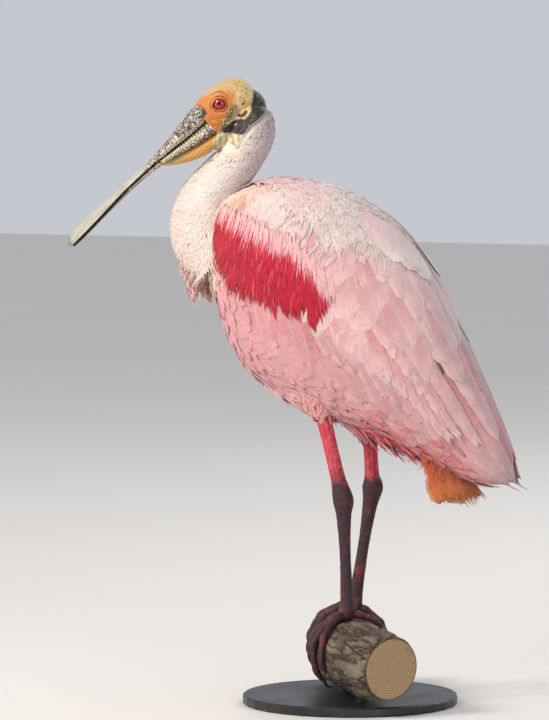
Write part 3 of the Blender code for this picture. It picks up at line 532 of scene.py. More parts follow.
def capped(grid):
    """Points and triangles of a closed body through rings, with fan caps."""
    rows, columns = grid.shape[:2]
    quads = grid_faces(rows, columns)
    faces = np.vstack([quads[:, [0, 1, 2]], quads[:, [0, 2, 3]]])
    points = with_ends(grid)
    k = np.arange(columns)
    start, end, last = len(points) - 2, len(points) - 1, (rows - 1) * columns
    first_cap = np.stack([np.full(columns, start), (k + 1) % columns, k], -1)
    last_cap = np.stack([np.full(columns, end), last + k, last + (k + 1) % columns], -1)
    return points, np.vstack([faces, first_cap, last_cap])


def loft(name, grid):
    points, faces = capped(np.asarray(grid))
    piece = mesh_piece(name, points, faces)
    shape = bmesh.new()
    shape.from_mesh(piece.data)
    bmesh.ops.recalc_face_normals(shape, faces=shape.faces)
    shape.to_mesh(piece.data)
    shape.free()
    return piece


def join(pieces, name):
    """Several mesh objects as one."""
    target = pieces[0]
    shape = bmesh.new()
    for piece in pieces:
        shape.from_mesh(piece.data)
    shape.to_mesh(target.data)
    shape.free()
    for piece in pieces[1:]:
        bpy.data.objects.remove(piece)
    target.name = name
    return target


def remeshed(piece, size, rounds):
    """One closed surface over everything in the piece, in faces of about that size."""
    modifier = piece.modifiers.new("surface", "REMESH")
    modifier.mode = "VOXEL"
    modifier.voxel_size = size
    smooth = piece.modifiers.new("smooth", "SMOOTH")
    smooth.iterations = rounds
    smooth.factor = 0.5
    bpy.context.view_layer.update()
    made = bpy.data.meshes.new_from_object(piece.evaluated_get(bpy.context.evaluated_depsgraph_get()))
    piece.modifiers.clear()
    piece.data = made
    piece.data.shade_smooth()
    return piece


# Materials
NOISE_ROUGHNESS = 0.55


class Finish:
    """A Principled material and short ways to add nodes to it."""

    def __init__(self, name, roughness, **sockets):
        self.material = bpy.data.materials.new(name)
        self.material.use_nodes = True
        self.nodes = self.material.node_tree.nodes
        self.links = self.material.node_tree.links
        self.shader = self.nodes["Principled BSDF"]
        self.shader.inputs["Roughness"].default_value = roughness
        for label, value in sockets.items():
            self.shader.inputs[label.replace("_", " ")].default_value = value

    def put(self, socket, value):
        """A link from another node, or a number or colour, on that socket."""
        if isinstance(value, bpy.types.NodeSocket):
            self.links.new(value, socket)
        elif value is not None:
            socket.default_value = (*value, 1) if np.ndim(value) else value

    def attribute(self, name, output="Color"):
        node = self.nodes.new("ShaderNodeAttribute")
        node.attribute_name = name
        return node.outputs[output]

    def place(self):
        return self.nodes.new("ShaderNodeTexCoord").outputs["Object"]

    def noise(self, scale, detail=4.0, vector=None, distortion=0.0):
        node = self.nodes.new("ShaderNodeTexNoise")
        node.inputs["Scale"].default_value = scale
        node.inputs["Detail"].default_value = detail
        node.inputs["Roughness"].default_value = NOISE_ROUGHNESS
        node.inputs["Distortion"].default_value = distortion
        self.links.new(vector or self.place(), node.inputs["Vector"])
        return node.outputs["Fac"]

    def cells(self, scale):
        node = self.nodes.new("ShaderNodeTexVoronoi")
        node.inputs["Scale"].default_value = scale
        self.links.new(self.place(), node.inputs["Vector"])
        return node.outputs["Distance"]

    def math(self, kind, a, b=None, c=None):
        node = self.nodes.new("ShaderNodeMath")
        node.operation = kind
        for socket, value in zip(node.inputs, (a, b, c)):
            self.put(socket, value)
        return node.outputs[0]

    def stretch(self, value, low, high, start=0.0, end=1.0):
        node = self.nodes.new("ShaderNodeMapRange")
        node.interpolation_type = "SMOOTHSTEP"
        for label, number in (("From Min", low), ("From Max", high), ("To Min", start), ("To Max", end)):
            node.inputs[label].default_value = number
        self.put(node.inputs["Value"], value)
        return node.outputs["Result"]

    def blend(self, share, a, b, kind="MIX"):
        node = self.nodes.new("ShaderNodeMix")
        node.data_type = "RGBA"
        node.blend_type = kind
        self.put(node.inputs["Factor"], share)
        self.put(node.inputs[6], a)
        self.put(node.inputs[7], b)
        return node.outputs[2]

    def split(self, vector):
        node = self.nodes.new("ShaderNodeSeparateXYZ")
        self.put(node.inputs[0], vector)
        return node.outputs

    def gather(self, x, y, z):
        node = self.nodes.new("ShaderNodeCombineXYZ")
        for socket, value in zip(node.inputs, (x, y, z)):
            self.put(socket, value)
        return node.outputs[0]

    def colour(self, value):
        self.links.new(value, self.shader.inputs["Base Color"])

    def tinted(self, tone):
        """The piece's painted tint, lighter or darker by the tone."""
        self.colour(self.blend(1.0, self.attribute("tint"), self.gather(tone, tone, tone), "MULTIPLY"))

    def weighed(self, *pairs):
        """The sum of values, each times its own weight."""
        total = 0.0
        for value, weight in pairs:
            total = self.math("MULTIPLY_ADD", value, weight, total)
        return total

    def rough(self, value):
        self.links.new(value, self.shader.inputs["Roughness"])

    def bump(self, height, distance):
        node = self.nodes.new("ShaderNodeBump")
        node.inputs["Distance"].default_value = distance
        self.links.new(height, node.inputs["Height"])
        self.links.new(node.outputs["Normal"], self.shader.inputs["Normal"])


def plumage(name, barb=0.0011, depth=0.00025, contrast=0.16):
    """Feather vanes: fine barbs slanting from the shaft, a faint shaft and soft uneven colour."""
    finish = Finish(name, 0.75, Sheen_Weight=0.25, Sheen_Roughness=0.5, Specular_IOR_Level=0.3)
    uv = finish.nodes.new("ShaderNodeUVMap")
    uv.uv_map = "vane"
    across, along, _ = finish.split(uv.outputs["UV"])
    side = finish.math("ABSOLUTE", across)
    slant = finish.math("SUBTRACT", along, finish.math("MULTIPLY", side, 1.1))
    waver = finish.noise(900, 2.0)
    phase = finish.weighed((waver, 5.0), (slant, 2 * math.pi / barb))
    barbs = finish.math("MULTIPLY_ADD", finish.math("SINE", phase), 0.5, 0.5)
    patch = finish.noise(70, 3.0)
    fine = finish.noise(420, 3.0)
    tone = finish.weighed((fine, 0.5), (patch, 0.5))
    shade = finish.stretch(tone, 0.3, 0.7, 1 - contrast, 1 + contrast * 0.5)
    shade = finish.math("MULTIPLY", shade, finish.stretch(barbs, 0.0, 1.0, 1 - contrast * 0.45, 1.0))
    shaft = finish.stretch(side, 0.00015, 0.0005, 0.90, 1.0)
    finish.tinted(finish.math("MULTIPLY", shade, shaft))
    finish.bump(barbs, depth)
    return finish.material


# Camera, floor and light
def view_axes():
    a, e = VIEW_AZIMUTH, VIEW_ELEVATION
    back = Vector((math.sin(a) * math.cos(e), -math.cos(a) * math.cos(e), math.sin(e)))
    right = Vector((math.cos(a), math.sin(a), 0))
    return right, back.cross(right), back


def make_camera():
    """A long lens from the photograph's side, framed so that one pixel spans the same as there."""
    right, up, back = view_axes()
    foot = Vector((0, 0, PHOTO_ORIGIN_HEIGHT))
    shift = right * (PHOTO_MIDDLE[0] - PHOTO_ORIGIN[0]) - up * (PHOTO_MIDDLE[1] - PHOTO_ORIGIN[1])
    target = right * foot.dot(right) + up * foot.dot(up) + shift * PHOTO_PIXEL
    data = bpy.data.cameras.new("camera")
    data.sensor_width = SENSOR
    data.lens = SENSOR * VIEW_DISTANCE / (PHOTO_HEIGHT * PHOTO_PIXEL)
    data.clip_start, data.clip_end = 0.1, 50
    camera = bpy.data.objects.new("camera", data)
    camera.matrix_world = Matrix.Translation(target + back * VIEW_DISTANCE) @ Matrix(
        (right, up, back)).transposed().to_4x4()
    bpy.context.scene.collection.objects.link(camera)
    bpy.context.scene.camera = camera


def make_light(name, place, size, energy, colour):
    data = bpy.data.lights.new(name, "AREA")
    data.shape = "DISK"
    data.size = size
    data.energy = energy
    data.color = colour
    lamp = bpy.data.objects.new(name, data)
    lamp.location = place
    lamp.rotation_euler = (Vector(place) - Vector(STUDIO_MIDDLE)).to_track_quat("Z", "Y").to_euler()
    bpy.context.scene.collection.objects.link(lamp)


def make_studio():
    """A pale floor, a soft bright sky and three lamps."""
    corners = [(x * FLOOR_HALF, y * FLOOR_HALF, 0) for x, y in ((-1, -1), (1, -1), (1, 1), (-1, 1))]
    floor = mesh_piece("floor", corners, [(0, 1, 2, 3)], smooth=False)
    finish = Finish("floor", 0.85)
    finish.colour(finish.blend(finish.noise(3.0), (0.72, 0.70, 0.67), (0.75, 0.73, 0.70)))
    floor.data.materials.append(finish.material)
    world = bpy.data.worlds.new("studio")
    world.use_nodes = True
    world.node_tree.nodes["Background"].inputs["Color"].default_value = (0.90, 0.93, 1.0, 1)
    world.node_tree.nodes["Background"].inputs["Strength"].default_value = 0.62
    bpy.context.scene.world = world
    bpy.context.scene.view_settings.view_transform = "Standard"
    for lamp in LAMPS:
        make_light(*lamp)


# Small numeric tools
def lattice(points, scale, seed):
    """Smooth random values from 0 to 1 over space."""
    placed = np.asarray(points, float) * scale
    cell = np.floor(placed).astype(np.int64)
    part = placed - cell
    part = part * part * (3 - 2 * part)

    def value(dx, dy, dz):
        h = (cell[..., 0] + dx) * 374761393 + (cell[..., 1] + dy) * 668265263
        h = (h + (cell[..., 2] + dz) * 2147483647 + seed * 974711) & 0xFFFFFFFF
        h = ((h ^ (h >> 13)) * 1274126177) & 0xFFFFFFFF
        return ((h ^ (h >> 16)) & 0xFFFF) / 65535.0

    total = 0.0
    for dx in (0, 1):
        for dy in (0, 1):
            for dz in (0, 1):
                share = 1.0
                for axis, step in enumerate((dx, dy, dz)):
                    share = share * (part[..., axis] if step else 1 - part[..., axis])
                total = total + share * value(dx, dy, dz)
    return total


def turbulence(points, scale, seed, octaves=3):
    """Lattices of ever finer scale and half the weight, added up."""
    weights = [0.5**k for k in range(octaves)]
    return sum(w * lattice(points, scale * 2**k, seed + k) for k, w in enumerate(weights)) / sum(weights)


def inside_by(points, corners):
    """Distance inside a closed outline, negative outside, for points in its plane."""
    points = np.asarray(points, float)
    corners = np.asarray(corners, float)
    nearest = np.full(len(points), 1e9)
    within = np.zeros(len(points), bool)
    for a, b in zip(corners, np.roll(corners, -1, axis=0)):
        edge, gap = b - a, points - a
        share = np.clip(gap @ edge / (edge @ edge), 0, 1)
        nearest = np.minimum(nearest, np.linalg.norm(gap - share[:, None] * edge, axis=1))
        crosses = (a[1] > points[:, 1]) != (b[1] > points[:, 1])
        if abs(edge[1]) > 1e-12:
            within ^= crosses & (points[:, 0] < edge[0] * (points[:, 1] - a[1]) / edge[1] + a[0])
    return np.where(within, nearest, -nearest)


def line_by(points, corners):
    """Distance from an open line through the corners, in its plane."""
    points = np.asarray(points, float)
    corners = np.asarray(corners, float)
    nearest = np.full(len(points), 1e9)
    for a, b in zip(corners[:-1], corners[1:]):
        edge, gap = b - a, points - a
        share = np.clip(gap @ edge / max(edge @ edge, 1e-15), 0, 1)
        nearest = np.minimum(nearest, np.linalg.norm(gap - share[:, None] * edge, axis=1))
    return nearest


# The head's frame
def head_matrix():
    x, y, height = HEAD_CENTRE
    place = Matrix.Translation((x, y, PERCH_TOP + height))
    turn = Matrix.Rotation(HEAD_YAW, 4, "Z") @ Matrix.Rotation(math.pi, 4, "Z")
    return place @ turn @ Matrix.Rotation(HEAD_PITCH, 4, "Y") @ Matrix.Rotation(HEAD_ROLL, 4, "X")


HEAD = np.array(head_matrix())
HEAD_BACK = np.linalg.inv(HEAD)


def from_head(points):
    return points @ HEAD[:3, :3].T + HEAD[:3, 3]


def to_head(points):
    return points @ HEAD_BACK[:3, :3].T + HEAD_BACK[:3, 3]


def head_rings(rows, count, columns, exponent, shrink=0.0):
    """Rings across the head's frame, as a grid of points in that frame."""
    table = smooth_rows(rows, count)
    turn = np.linspace(0, 2 * math.pi, columns, endpoint=False)
    c, s = power(np.cos(turn), 2 / exponent), power(np.sin(turn), 2 / exponent)
    middle = (table[:, 1] + table[:, 2]) / 2
    half = np.maximum((table[:, 1] - table[:, 2]) / 2 - shrink, 0.0004)
    wide = np.maximum(table[:, 3] - shrink, 0.0004)
    grid = np.empty((count, columns, 3))
    grid[..., 0] = table[:, :1]
    grid[..., 1] = wide[:, None] * s
    grid[..., 2] = middle[:, None] + half[:, None] * c
    return grid


# Outlines on the head's side, as forward place and height in the head's frame, in millimetres
ORANGE_EDGE = (
    (30, 33), (13.4, 29.4), (7.2, 26.6), (1.7, 24.5), (-5.1, 21.7), (-9.9, 18.6), (-16.1, 15.6),
    (-15.1, 10), (-12, 7.7), (-7.1, 4.2), (-1.6, 3.9), (2.5, 0.1), (8.6, -2), (14.7, -4.2), (21, -7.4),
    (30, -9), (42, -6),
)
BAND_EDGE = (
    (-60, 10), (-33, 5), (-30.3, 1.4), (-26.5, -3.2), (-21, -6.4), (-17, -10.4), (-12, -11.8), (-7, -11.6),
    (-4, -9), (2, -6.5), (7.1, -6.5), (13.7, -6.3), (15.6, -10), (9, -16.4), (3, -22), (-6.8, -24),
    (-14.7, -25), (-22.6, -25), (-30, -26), (-34, -20), (-38, -16), (-60, -15),
)
BARE_EDGE = (
    (-70, 60), (80, 60), (80, -4), (62, -8), (44, -14), (36, -17), (31, -20), (27, -25), (20, -28),
    (12, -27), (4, -23), (-6.8, -20.6), (-14.7, -21.7), (-22.6, -21.9), (-27.9, -22.3), (-31.9, -16.6),
    (-37, -13), (-70, -12),
)
FOLDS_EDGE = (
    (19.9, -5.8), (14.7, -7.6), (7, -15.6), (2, -21), (4, -27), (12, -31), (20, -33), (29, -28),
    (33, -18), (31, -11), (24, -7),
)
EAR_HOLLOW = ((-12.9, -7.6), (-10.4, -8), (-7.3, -7.9), (-5.3, -6.2))
EAR_SPOT = (-15.8, -1.1)
GRAIN_LINE = ((-7.7, 1.8), (-3, 1.5), (-0.8, -0.1), (2.9, -1.4), (9, -2.5), (15.1, -5.9))
MOUTH_LINE = ((22, 9), (14, 6), (8, 3))
JAW_LINE = ((23, 3), (15, 0), (9, -2))


def head_marks(local):
    """Shares of each marking for points of the head's frame."""
    flat = np.stack([local[:, 0], local[:, 2]], -1) * 1000
    waver = (turbulence(local, 260, 5) - 0.5) * 2.4
    fine = (turbulence(local, 900, 9) - 0.5) * 1.4
    found = {"flat": flat}
    found["orange"] = ramp(inside_by(flat, ORANGE_EDGE) + waver * 2.2 + fine * 1.2, -3.4, 2.6)
    found["band"] = ramp(inside_by(flat, BAND_EDGE) + waver * 0.4 + fine * 0.7, -0.3, 0.5)
    found["folds"] = ramp(inside_by(flat, FOLDS_EDGE) + waver * 0.6, -1.6, 1.4)
    found["bare"] = inside_by(flat, BARE_EDGE)
    found["hollow"] = ramp(-line_by(flat, EAR_HOLLOW) + fine * 0.2, -1.7, -0.7)
    found["spot"] = ramp(-np.linalg.norm(flat - EAR_SPOT, axis=1) + fine * 0.4, -1.5, -0.8)
    found["grain"] = ramp(-line_by(flat, GRAIN_LINE) + waver * 0.4, -4.4, -1.6)
    found["pouch"] = ramp(flat[:, 0], 16, 26) * ramp(-flat[:, 1], -1, 4)
    return found


def fold_slant(local, flat):
    """Millimetres across the bare folds, which run aslant and waver."""
    return flat[:, 0] * 0.78 + flat[:, 1] * 0.62 + turbulence(local, 180, 21) * 1.6


def head_relief(local, found):
    """How far the skin stands out, in metres, for folds, wrinkles, the ear and the band's edge."""
    flat = found["flat"]
    waver = turbulence(local, 180, 21)
    height = -0.0018 * found["hollow"] - 0.0011 * found["spot"]
    edge = inside_by(flat, BAND_EDGE)
    height = height + 0.0007 * ramp(-edge, -0.4, 0.5) * ramp(edge, -5.0, -1.5) * (1 - found["folds"])
    height = height - 0.0004 * found["band"]
    rim = np.exp(-((found["bare"] - 1.0) / 0.8) ** 2) * ramp(-flat[:, 0], -30, -12)
    height = height + 0.0009 * rim * (0.4 + 1.2 * waver)
    height = height + 0.00045 * found["folds"] * (np.abs(np.sin(fold_slant(local, flat) * 0.62)) - 0.6)
    rows = np.sin((flat[:, 1] + 0.16 * flat[:, 0] + 1.3 * waver) * 2.4)
    height = height + 0.00022 * found["pouch"] * rows * (1 - found["folds"])
    crown = 1 - ramp(flat[:, 0] * 0.62 - flat[:, 1] * 0.78, 4, 16)
    height = height + 0.00009 * crown * np.sin((flat[:, 0] * 0.75 - flat[:, 1] * 0.66 + waver * 2.6) * 3.1)
    height = height + 0.0009 * found["grain"] * ramp(turbulence(local, 1000, 31, 2), 0.5, 0.75)
    mouth, jaw = (np.exp(-((line_by(flat, line) / 0.9) ** 2)) for line in (MOUTH_LINE, JAW_LINE))
    return height - 0.0007 * mouth * ramp(-flat[:, 0], -23, -12) - 0.0004 * jaw


# The bare head's colours
BUFF = linear(204, 170, 108)
BUFF_PALE = linear(218, 192, 138)
FACE_ORANGE = linear(208, 122, 52)
BURNT = linear(176, 84, 28)
BAND_BLACK = linear(46, 40, 42)
BAND_GREY = linear(112, 102, 100)
FOLD_GREEN = linear(188, 174, 134)
# Dark of the folds: painted shade in their grooves, and the dark ground of the grainy strip
FOLD_DARK = linear(78, 68, 48)
POUCH_YELLOW = linear(206, 158, 84)
POUCH_ORANGE = linear(206, 130, 52)
EAR_PINK = linear(176, 140, 128)
# Near black: painted shade in the ear's hollow and opening, the nostrils and the crevice under the lids' rim
DARK = linear(28, 20, 18)


def head_colours(local, found):
    """Colours of the bare head: buff crown, orange face, pouch, folds, ear and black band, with painted shade
    in creases and hollows.
    """
    flat = found["flat"]
    mottle = turbulence(local, 320, 41)
    fine = turbulence(local, 1300, 43, 2)
    colour = mix(BUFF, BUFF_PALE, ramp(mottle, 0.35, 0.65) * 0.8)
    colour = mix(colour, linear(196, 150, 92), ramp(flat[:, 1], 12, 26) * ramp(mottle, 0.45, 0.7) * 0.5)
    streak = turbulence(local * (1, 1, 0.16), 1400, 53, 2)
    colour = mix(colour, linear(150, 116, 66), ramp(streak, 0.52, 0.74) * 0.55)
    colour = mix(colour, linear(232, 210, 162), ramp(-streak, -0.46, -0.28) * 0.5)
    orange = mix(FACE_ORANGE, BURNT, ramp(fine, 0.5, 0.8) * 0.6)
    orange = mix(orange, linear(222, 150, 66), ramp(mottle, 0.55, 0.75) * 0.5)
    colour = mix(colour, orange, found["orange"] * 0.95)
    around = np.linalg.norm(flat - (-5.4, 19), axis=1)
    colour = mix(colour, BURNT, ramp(-around, -9, -4) * ramp(fine, 0.45, 0.7) * 0.45)
    stripe = np.sin((flat[:, 1] + 0.16 * flat[:, 0]) * 2.4 + mottle * 5)
    colour = mix(colour, mix(POUCH_YELLOW, POUCH_ORANGE, ramp(stripe, -0.2, 0.9)), found["pouch"] * 0.9)
    groove = 1 - np.abs(np.sin(fold_slant(local, flat) * 0.62))
    folds = mix(FOLD_GREEN, linear(216, 204, 170), ramp(mottle, 0.4, 0.65))
    # The folds darker in their grooves: painted shade in the creases
    colour = mix(colour, mix(folds, FOLD_DARK, ramp(groove, 0.70, 0.98) * 0.7), found["folds"])
    dots = ramp(turbulence(local, 1000, 31, 2), 0.5, 0.62)
    colour = mix(colour, mix(FOLD_DARK, linear(214, 196, 140), dots), found["grain"] * 0.85)
    ear = ramp(-np.linalg.norm((flat - (-5, -3.5)) / (5.5, 3.4), axis=1), -1.15, -0.7)
    colour = mix(colour, EAR_PINK, ear * 0.75)
    band = mix(BAND_BLACK, BAND_GREY, ramp(turbulence(local, 700, 47), 0.52, 0.72) * 0.75)
    colour = mix(colour, band, found["band"])
    # The ear's hollow and opening near black: painted shade in these recesses
    colour = mix(colour, DARK, np.clip(found["hollow"] + found["spot"], 0, 1) * 0.92)
    rim = np.exp(-((found["bare"] - 0.9) / 0.9) ** 2) * ramp(-flat[:, 0], -30, -12)
    colour = mix(colour, linear(206, 196, 186), rim * 0.55)
    return mix(colour, linear(226, 212, 200), ramp(-found["bare"], -0.2, 0.8))


# x, y, height, half depth, half width of the feathered chin
CHIN = (
    (-0.1300, -0.0074, 0.4395, 0.0035, 0.0040),
    (-0.1250, -0.0064, 0.4385, 0.0070, 0.0062),
    (-0.1170, -0.0050, 0.4350, 0.0092, 0.0080),
    (-0.1090, -0.0030, 0.4320, 0.0100, 0.0100),
)
NECK_TUBE = Tube(NECK, 2.0, 0.0010)
CHIN_TUBE = Tube(CHIN, 2.0, 0.0010, end=1.2, patch=(0.0, 0.55, 0.4, 0.4))
TORSO_TUBE = Tube(TORSO, TORSO_EXPONENT, 0.0030, patch=(0.0, 0.0, 0.5, 0.5))
CLOAK = Cloak(0.0040)


def tube_grid(tube, rows, columns, start=0.0, end=1.0):
    return tube(*ring_grid(rows, columns, start, end))


def thigh_stations(places, side, shrink):
    (rx, rz), (ex, ez) = places[:2]
    y = side * LEG_SPREAD
    rows = (
        (rx - 0.010, y * 0.9, rz + 0.020, 0.030, 0.018),
        (rx, y, rz, 0.029, 0.018),
        ((rx + ex) / 2, y, (rz + ez) / 2, 0.022, 0.016),
        (ex, y, ez, 0.0115, 0.0105),
        (ex + 0.002, y, ez - 0.005, 0.0085, 0.0080),
    )
    return [(x, y, z, deep - shrink, wide - shrink) for x, y, z, deep, wide in rows]


# x, y, height, half depth, half width of the tail's fleshy root
TAIL_CORE = (
    (0.058, 0, 0.186, 0.014, 0.014),
    (0.076, 0, 0.161, 0.010, 0.017),
    (0.088, 0, 0.143, 0.005, 0.019),
    (0.096, 0, 0.130, 0.002, 0.018),
)


# How far the skin lies inside the solids' surface, under the coat
CLOAK_DEPTH, TRUNK_DEPTH, NECK_DEPTH, SMALL_DEPTH = 0.0062, 0.0088, 0.0028, 0.0022
BODY_VOXEL, HEAD_VOXEL = 0.0020, 0.00058
# Balls in the head's frame that fill out its skin: centre, radii
FOLDS_BALL = ((0.0205, 0, -0.0140), (0.0135, 0.0105, 0.0100))
HINDHEAD_BALL = ((-0.0205, 0, -0.0085), (0.0128, 0.0140, 0.0150))


def make_body_skin():
    """The feathered body's skin, one closed surface under the coat."""
    pieces = [loft("cloak", tube_grid(Cloak(CLOAK_DEPTH), 90, 80, -0.019, 0.333))]
    pieces.append(loft("trunk", tube_grid(Tube(TORSO, TORSO_EXPONENT, TRUNK_DEPTH), 70, 64)))
    pieces.append(loft("neck", tube_grid(Tube(NECK, 2.0, NECK_DEPTH), 60, 48, 0.05, 1.0)))
    pieces.append(loft("chin", tube_grid(Tube(CHIN, 2.0, SMALL_DEPTH), 30, 32)))
    pieces.append(loft("tailcore", tube_grid(Tube(TAIL_CORE, 2.4), 20, 32)))
    for side, places in LEGS.values():
        pieces.append(loft("thigh", tube_grid(Tube(thigh_stations(places, side, SMALL_DEPTH), 2.0), 24, 32)))
    return remeshed(join(pieces, "skin"), BODY_VOXEL, 2)


def ball(centre, radii):
    """A round body in the head's frame, as rings."""
    angle, turn = ring_grid(24, 36, 0.05, math.pi - 0.05)
    rings = np.stack([-np.cos(angle), np.sin(angle) * np.sin(turn), np.sin(angle) * np.cos(turn)], -1)
    return np.array(centre) + rings * radii


def eye_frame(side):
    """The eye's centre, the way it looks and forward across that way, in the head's frame."""
    axis = np.array(EYE_WAY) * (1, side, 1)
    axis /= np.linalg.norm(axis)
    forward = np.array([1.0, 0, 0]) - axis * axis[0]
    return np.array(EYE_PLACE) * (1, side, 1), axis, forward / np.linalg.norm(forward)


def make_head_skin():
    """The bare head with its pouch and the top of the neck, finely meshed, with folds raised in it."""
    skull = from_head(head_rings(SKULL, 60, 64, 2.0))
    pouch = from_head(head_rings(POUCH, 50, 48, 2.0))
    pieces = [loft("skull", skull), loft("pouch", pouch)]
    pieces.append(loft("nape", tube_grid(Tube(NECK, 2.0, SMALL_DEPTH), 40, 64, 0.0, 0.36)))
    pieces.append(loft("folds", from_head(ball(*FOLDS_BALL))))
    pieces.append(loft("hindhead", from_head(ball(*HINDHEAD_BALL))))
    piece = remeshed(join(pieces, "head"), HEAD_VOXEL, 3)
    local = to_head(points_of(piece))
    found = head_marks(local)
    normals = vertex_normals(piece) @ HEAD[:3, :3]
    for side in (1, -1):
        eye, _, _ = eye_frame(side)
        near = local[:, 1] * side > 0.002
        gap = np.linalg.norm(local - eye - normals * 0.004, axis=1)
        local = local - normals * (0.0042 * ramp(-gap, -0.0105, -0.0085) * near)[:, None]
    local = local + normals * head_relief(local, found)[:, None]
    move_points(piece, from_head(local))
    paint(piece, head_colours(local, found))
    return piece


def vertex_normals(piece):
    found = np.empty(len(piece.data.vertices) * 3, np.float32)
    piece.data.vertex_normals.foreach_get("vector", found)
    return found.reshape(-1, 3).astype(float)


# Radii in millimetres of the lids' opening and outer edge, by degrees round the eye from its front
LID_OPENING = ((0, 6.5), (19, 7.5), (40, 6.2), (75, 5.3), (110, 4.9), (150, 4.9), (195, 5.4), (228, 5.9),
               (262, 5.7), (300, 5.3), (335, 5.6), (360, 6.5))
LID_OUTER = ((0, 8.8), (30, 9.6), (78, 8.0), (131, 7.0), (192, 8.0), (226, 9.2), (263, 9.6), (303, 9.6),
             (339, 8.8), (360, 8.8))

# Heights over the eyeball of the lid's rim, row by row out of the opening
LID_RIM = (-0.0011, -0.0006, 0.0002, 0.0007)
# Rings of skin: height, place and breadth as shares of the way from the rim out
LID_RINGS = ((0.0006, 0.10, 0.10), (-0.0006, 0.34, 0.09), (0.0006, 0.56, 0.12), (-0.0002, 0.80, 0.07))
LID_SKIRT = 0.0035
PROBE_HEIGHT = 0.03


def closed_curve(table, degrees):
    """A curve round the eye in metres from a table in millimetres, smoothed."""
    found = np.interp(degrees, *np.array(table).T) / 1000
    for _ in range(6):
        found = (found + 0.5 * np.roll(found, 1) + 0.5 * np.roll(found, -1)) / 2
    return found


def skin_levels(surface, places, axis):
    """How high the surface lies over places of the head's frame along that axis."""
    levels = np.zeros(len(places))
    for number, start in enumerate(from_head(places + axis * PROBE_HEIGHT)):
        distance = surface.ray_cast(Vector(start), Vector(HEAD[:3, :3] @ -axis))[3]
        if distance is not None:
            levels[number] = PROBE_HEIGHT - distance
    return levels


def make_lids(side, surface):
    """The lids and rings of skin round one eye: a fine polar mesh that ends under the head's surface."""
    eye, axis, forward = eye_frame(side)
    upward = np.array([0, 0, 1.0]) - axis * axis[2]
    upward = upward - forward * (upward @ forward)
    upward /= np.linalg.norm(upward)
    columns, rows, rim_rows = 120, 40, len(LID_RIM)
    angle = np.linspace(0, 2 * math.pi, columns, endpoint=False)
    direction = np.cos(angle)[:, None] * forward + np.sin(angle)[:, None] * upward
    opening, outer = (closed_curve(table, np.degrees(angle)) for table in (LID_OPENING, LID_OUTER))
    grid = np.empty((rows, columns, 3))
    ridge = np.zeros((rows, columns))
    for i in range(rows):
        q = (i - rim_rows + 1) / (rows - rim_rows)
        r = opening * (0.90 + 0.035 * i) if i < rim_rows else opening + (outer + LID_SKIRT - opening) * q
        ball = np.sqrt((EYE_RADIUS + 0.0003) ** 2 - np.minimum(r, EYE_RADIUS * 0.93) ** 2)
        if i < rim_rows:
            depth = ball + LID_RIM[i]
        else:
            skin = skin_levels(surface, eye + direction * r[:, None], axis)
            rings = [high * np.exp(-((q - place) / broad) ** 2) for high, place, broad in LID_RINGS]
            blend = ramp(q, 0.12, 0.60)
            depth = (ball + 0.0003) * (1 - blend) + (skin + 0.0002) * blend
            depth = depth + sum(rings) - 0.0012 * ramp(q, 0.90, 1.0)
            ridge[i] = sum(rings[:3]) * 1000
        grid[i] = eye + direction * r[:, None] + axis * depth[:, None]
    points = from_head(grid.reshape(-1, 3))
    faces = grid_faces(rows, columns)
    if side < 0:
        faces = faces[:, ::-1]
    piece = mesh_piece("lids", points, faces)
    local = to_head(points)
    colour = head_colours(local, head_marks(local))
    ring = ridge.ravel()
    colour = mix(colour, linear(226, 178, 118), ramp(ring, 0.35, 0.8) * 0.7)
    colour = mix(colour, linear(120, 58, 22), ramp(-ring, 0.35, 0.9) * 0.75)
    # The rim rows, where the lid tucks under the eyeball, near black: painted shade in that crevice
    row = np.repeat(np.arange(rows), columns)
    colour = mix(colour, DARK, ramp(-row, -4.6, -3.2) * 0.95)
    paint(piece, colour)
    return piece


def make_eyes(finish):
    """Eyeballs, bulged a little over the iris, that look outward and a little forward and up."""
    for label, side in (("left", 1), ("right", -1)):
        eye, axis, forward = eye_frame(side)
        upward = np.cross(axis, forward)
        p, a = ring_grid(60, 72, 0.0, math.pi)
        swell = EYE_RADIUS * (1 + 0.02 * ramp(-p, -0.8, 0.0))
        ring = np.sin(p)[..., None] * (np.cos(a)[..., None] * forward + np.sin(a)[..., None] * upward)
        grid = eye + (ring + np.cos(p)[..., None] * axis) * swell[..., None]
        piece = loft("eye_" + label + "_look", from_head(grid))
        inside = to_head(points_of(piece)) - eye
        spread = np.degrees(np.arccos(np.clip(inside @ axis / np.linalg.norm(inside, axis=1), -1, 1)))
        mark(piece, "spread", spread)
        mark(piece, "spoke", np.arctan2(inside @ upward, inside @ forward))
        piece.data.materials.append(finish)
        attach(piece, "root")
        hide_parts("eye_" + label)


def eye_finish():
    """A dark pupil and a crimson iris with rays, dark at its edge, by degrees from the eye's axis."""
    finish = Finish("eye_glass", 0.04, Coat_Weight=0.6, Coat_Roughness=0.02, Specular_IOR_Level=0.3)
    spread = finish.attribute("spread", "Fac")
    spoke = finish.attribute("spoke", "Fac")
    place = finish.gather(finish.math("MULTIPLY", spoke, 9.0), finish.math("MULTIPLY", spread, 0.06), 0.0)
    rays = finish.noise(1.0, 3.0, place)
    iris = finish.blend(finish.stretch(rays, 0.35, 0.7), linear(140, 12, 32), linear(204, 44, 62))
    iris = finish.blend(finish.stretch(spread, 30, 41), iris, linear(96, 6, 22))
    iris = finish.blend(finish.stretch(spread, 12.5, 15.5, 1.0, 0.0), iris, linear(9, 5, 6))
    finish.colour(finish.blend(finish.stretch(spread, 42, 46), iris, linear(40, 12, 14)))
    return finish.material


def chance(i, j, seed):
    """A fixed random number from 0 to 1 for each pair of whole numbers."""
    value = np.sin(i * 127.1 + j * 311.7 + seed * 74.7) * 43758.5453
    return value - np.floor(value)


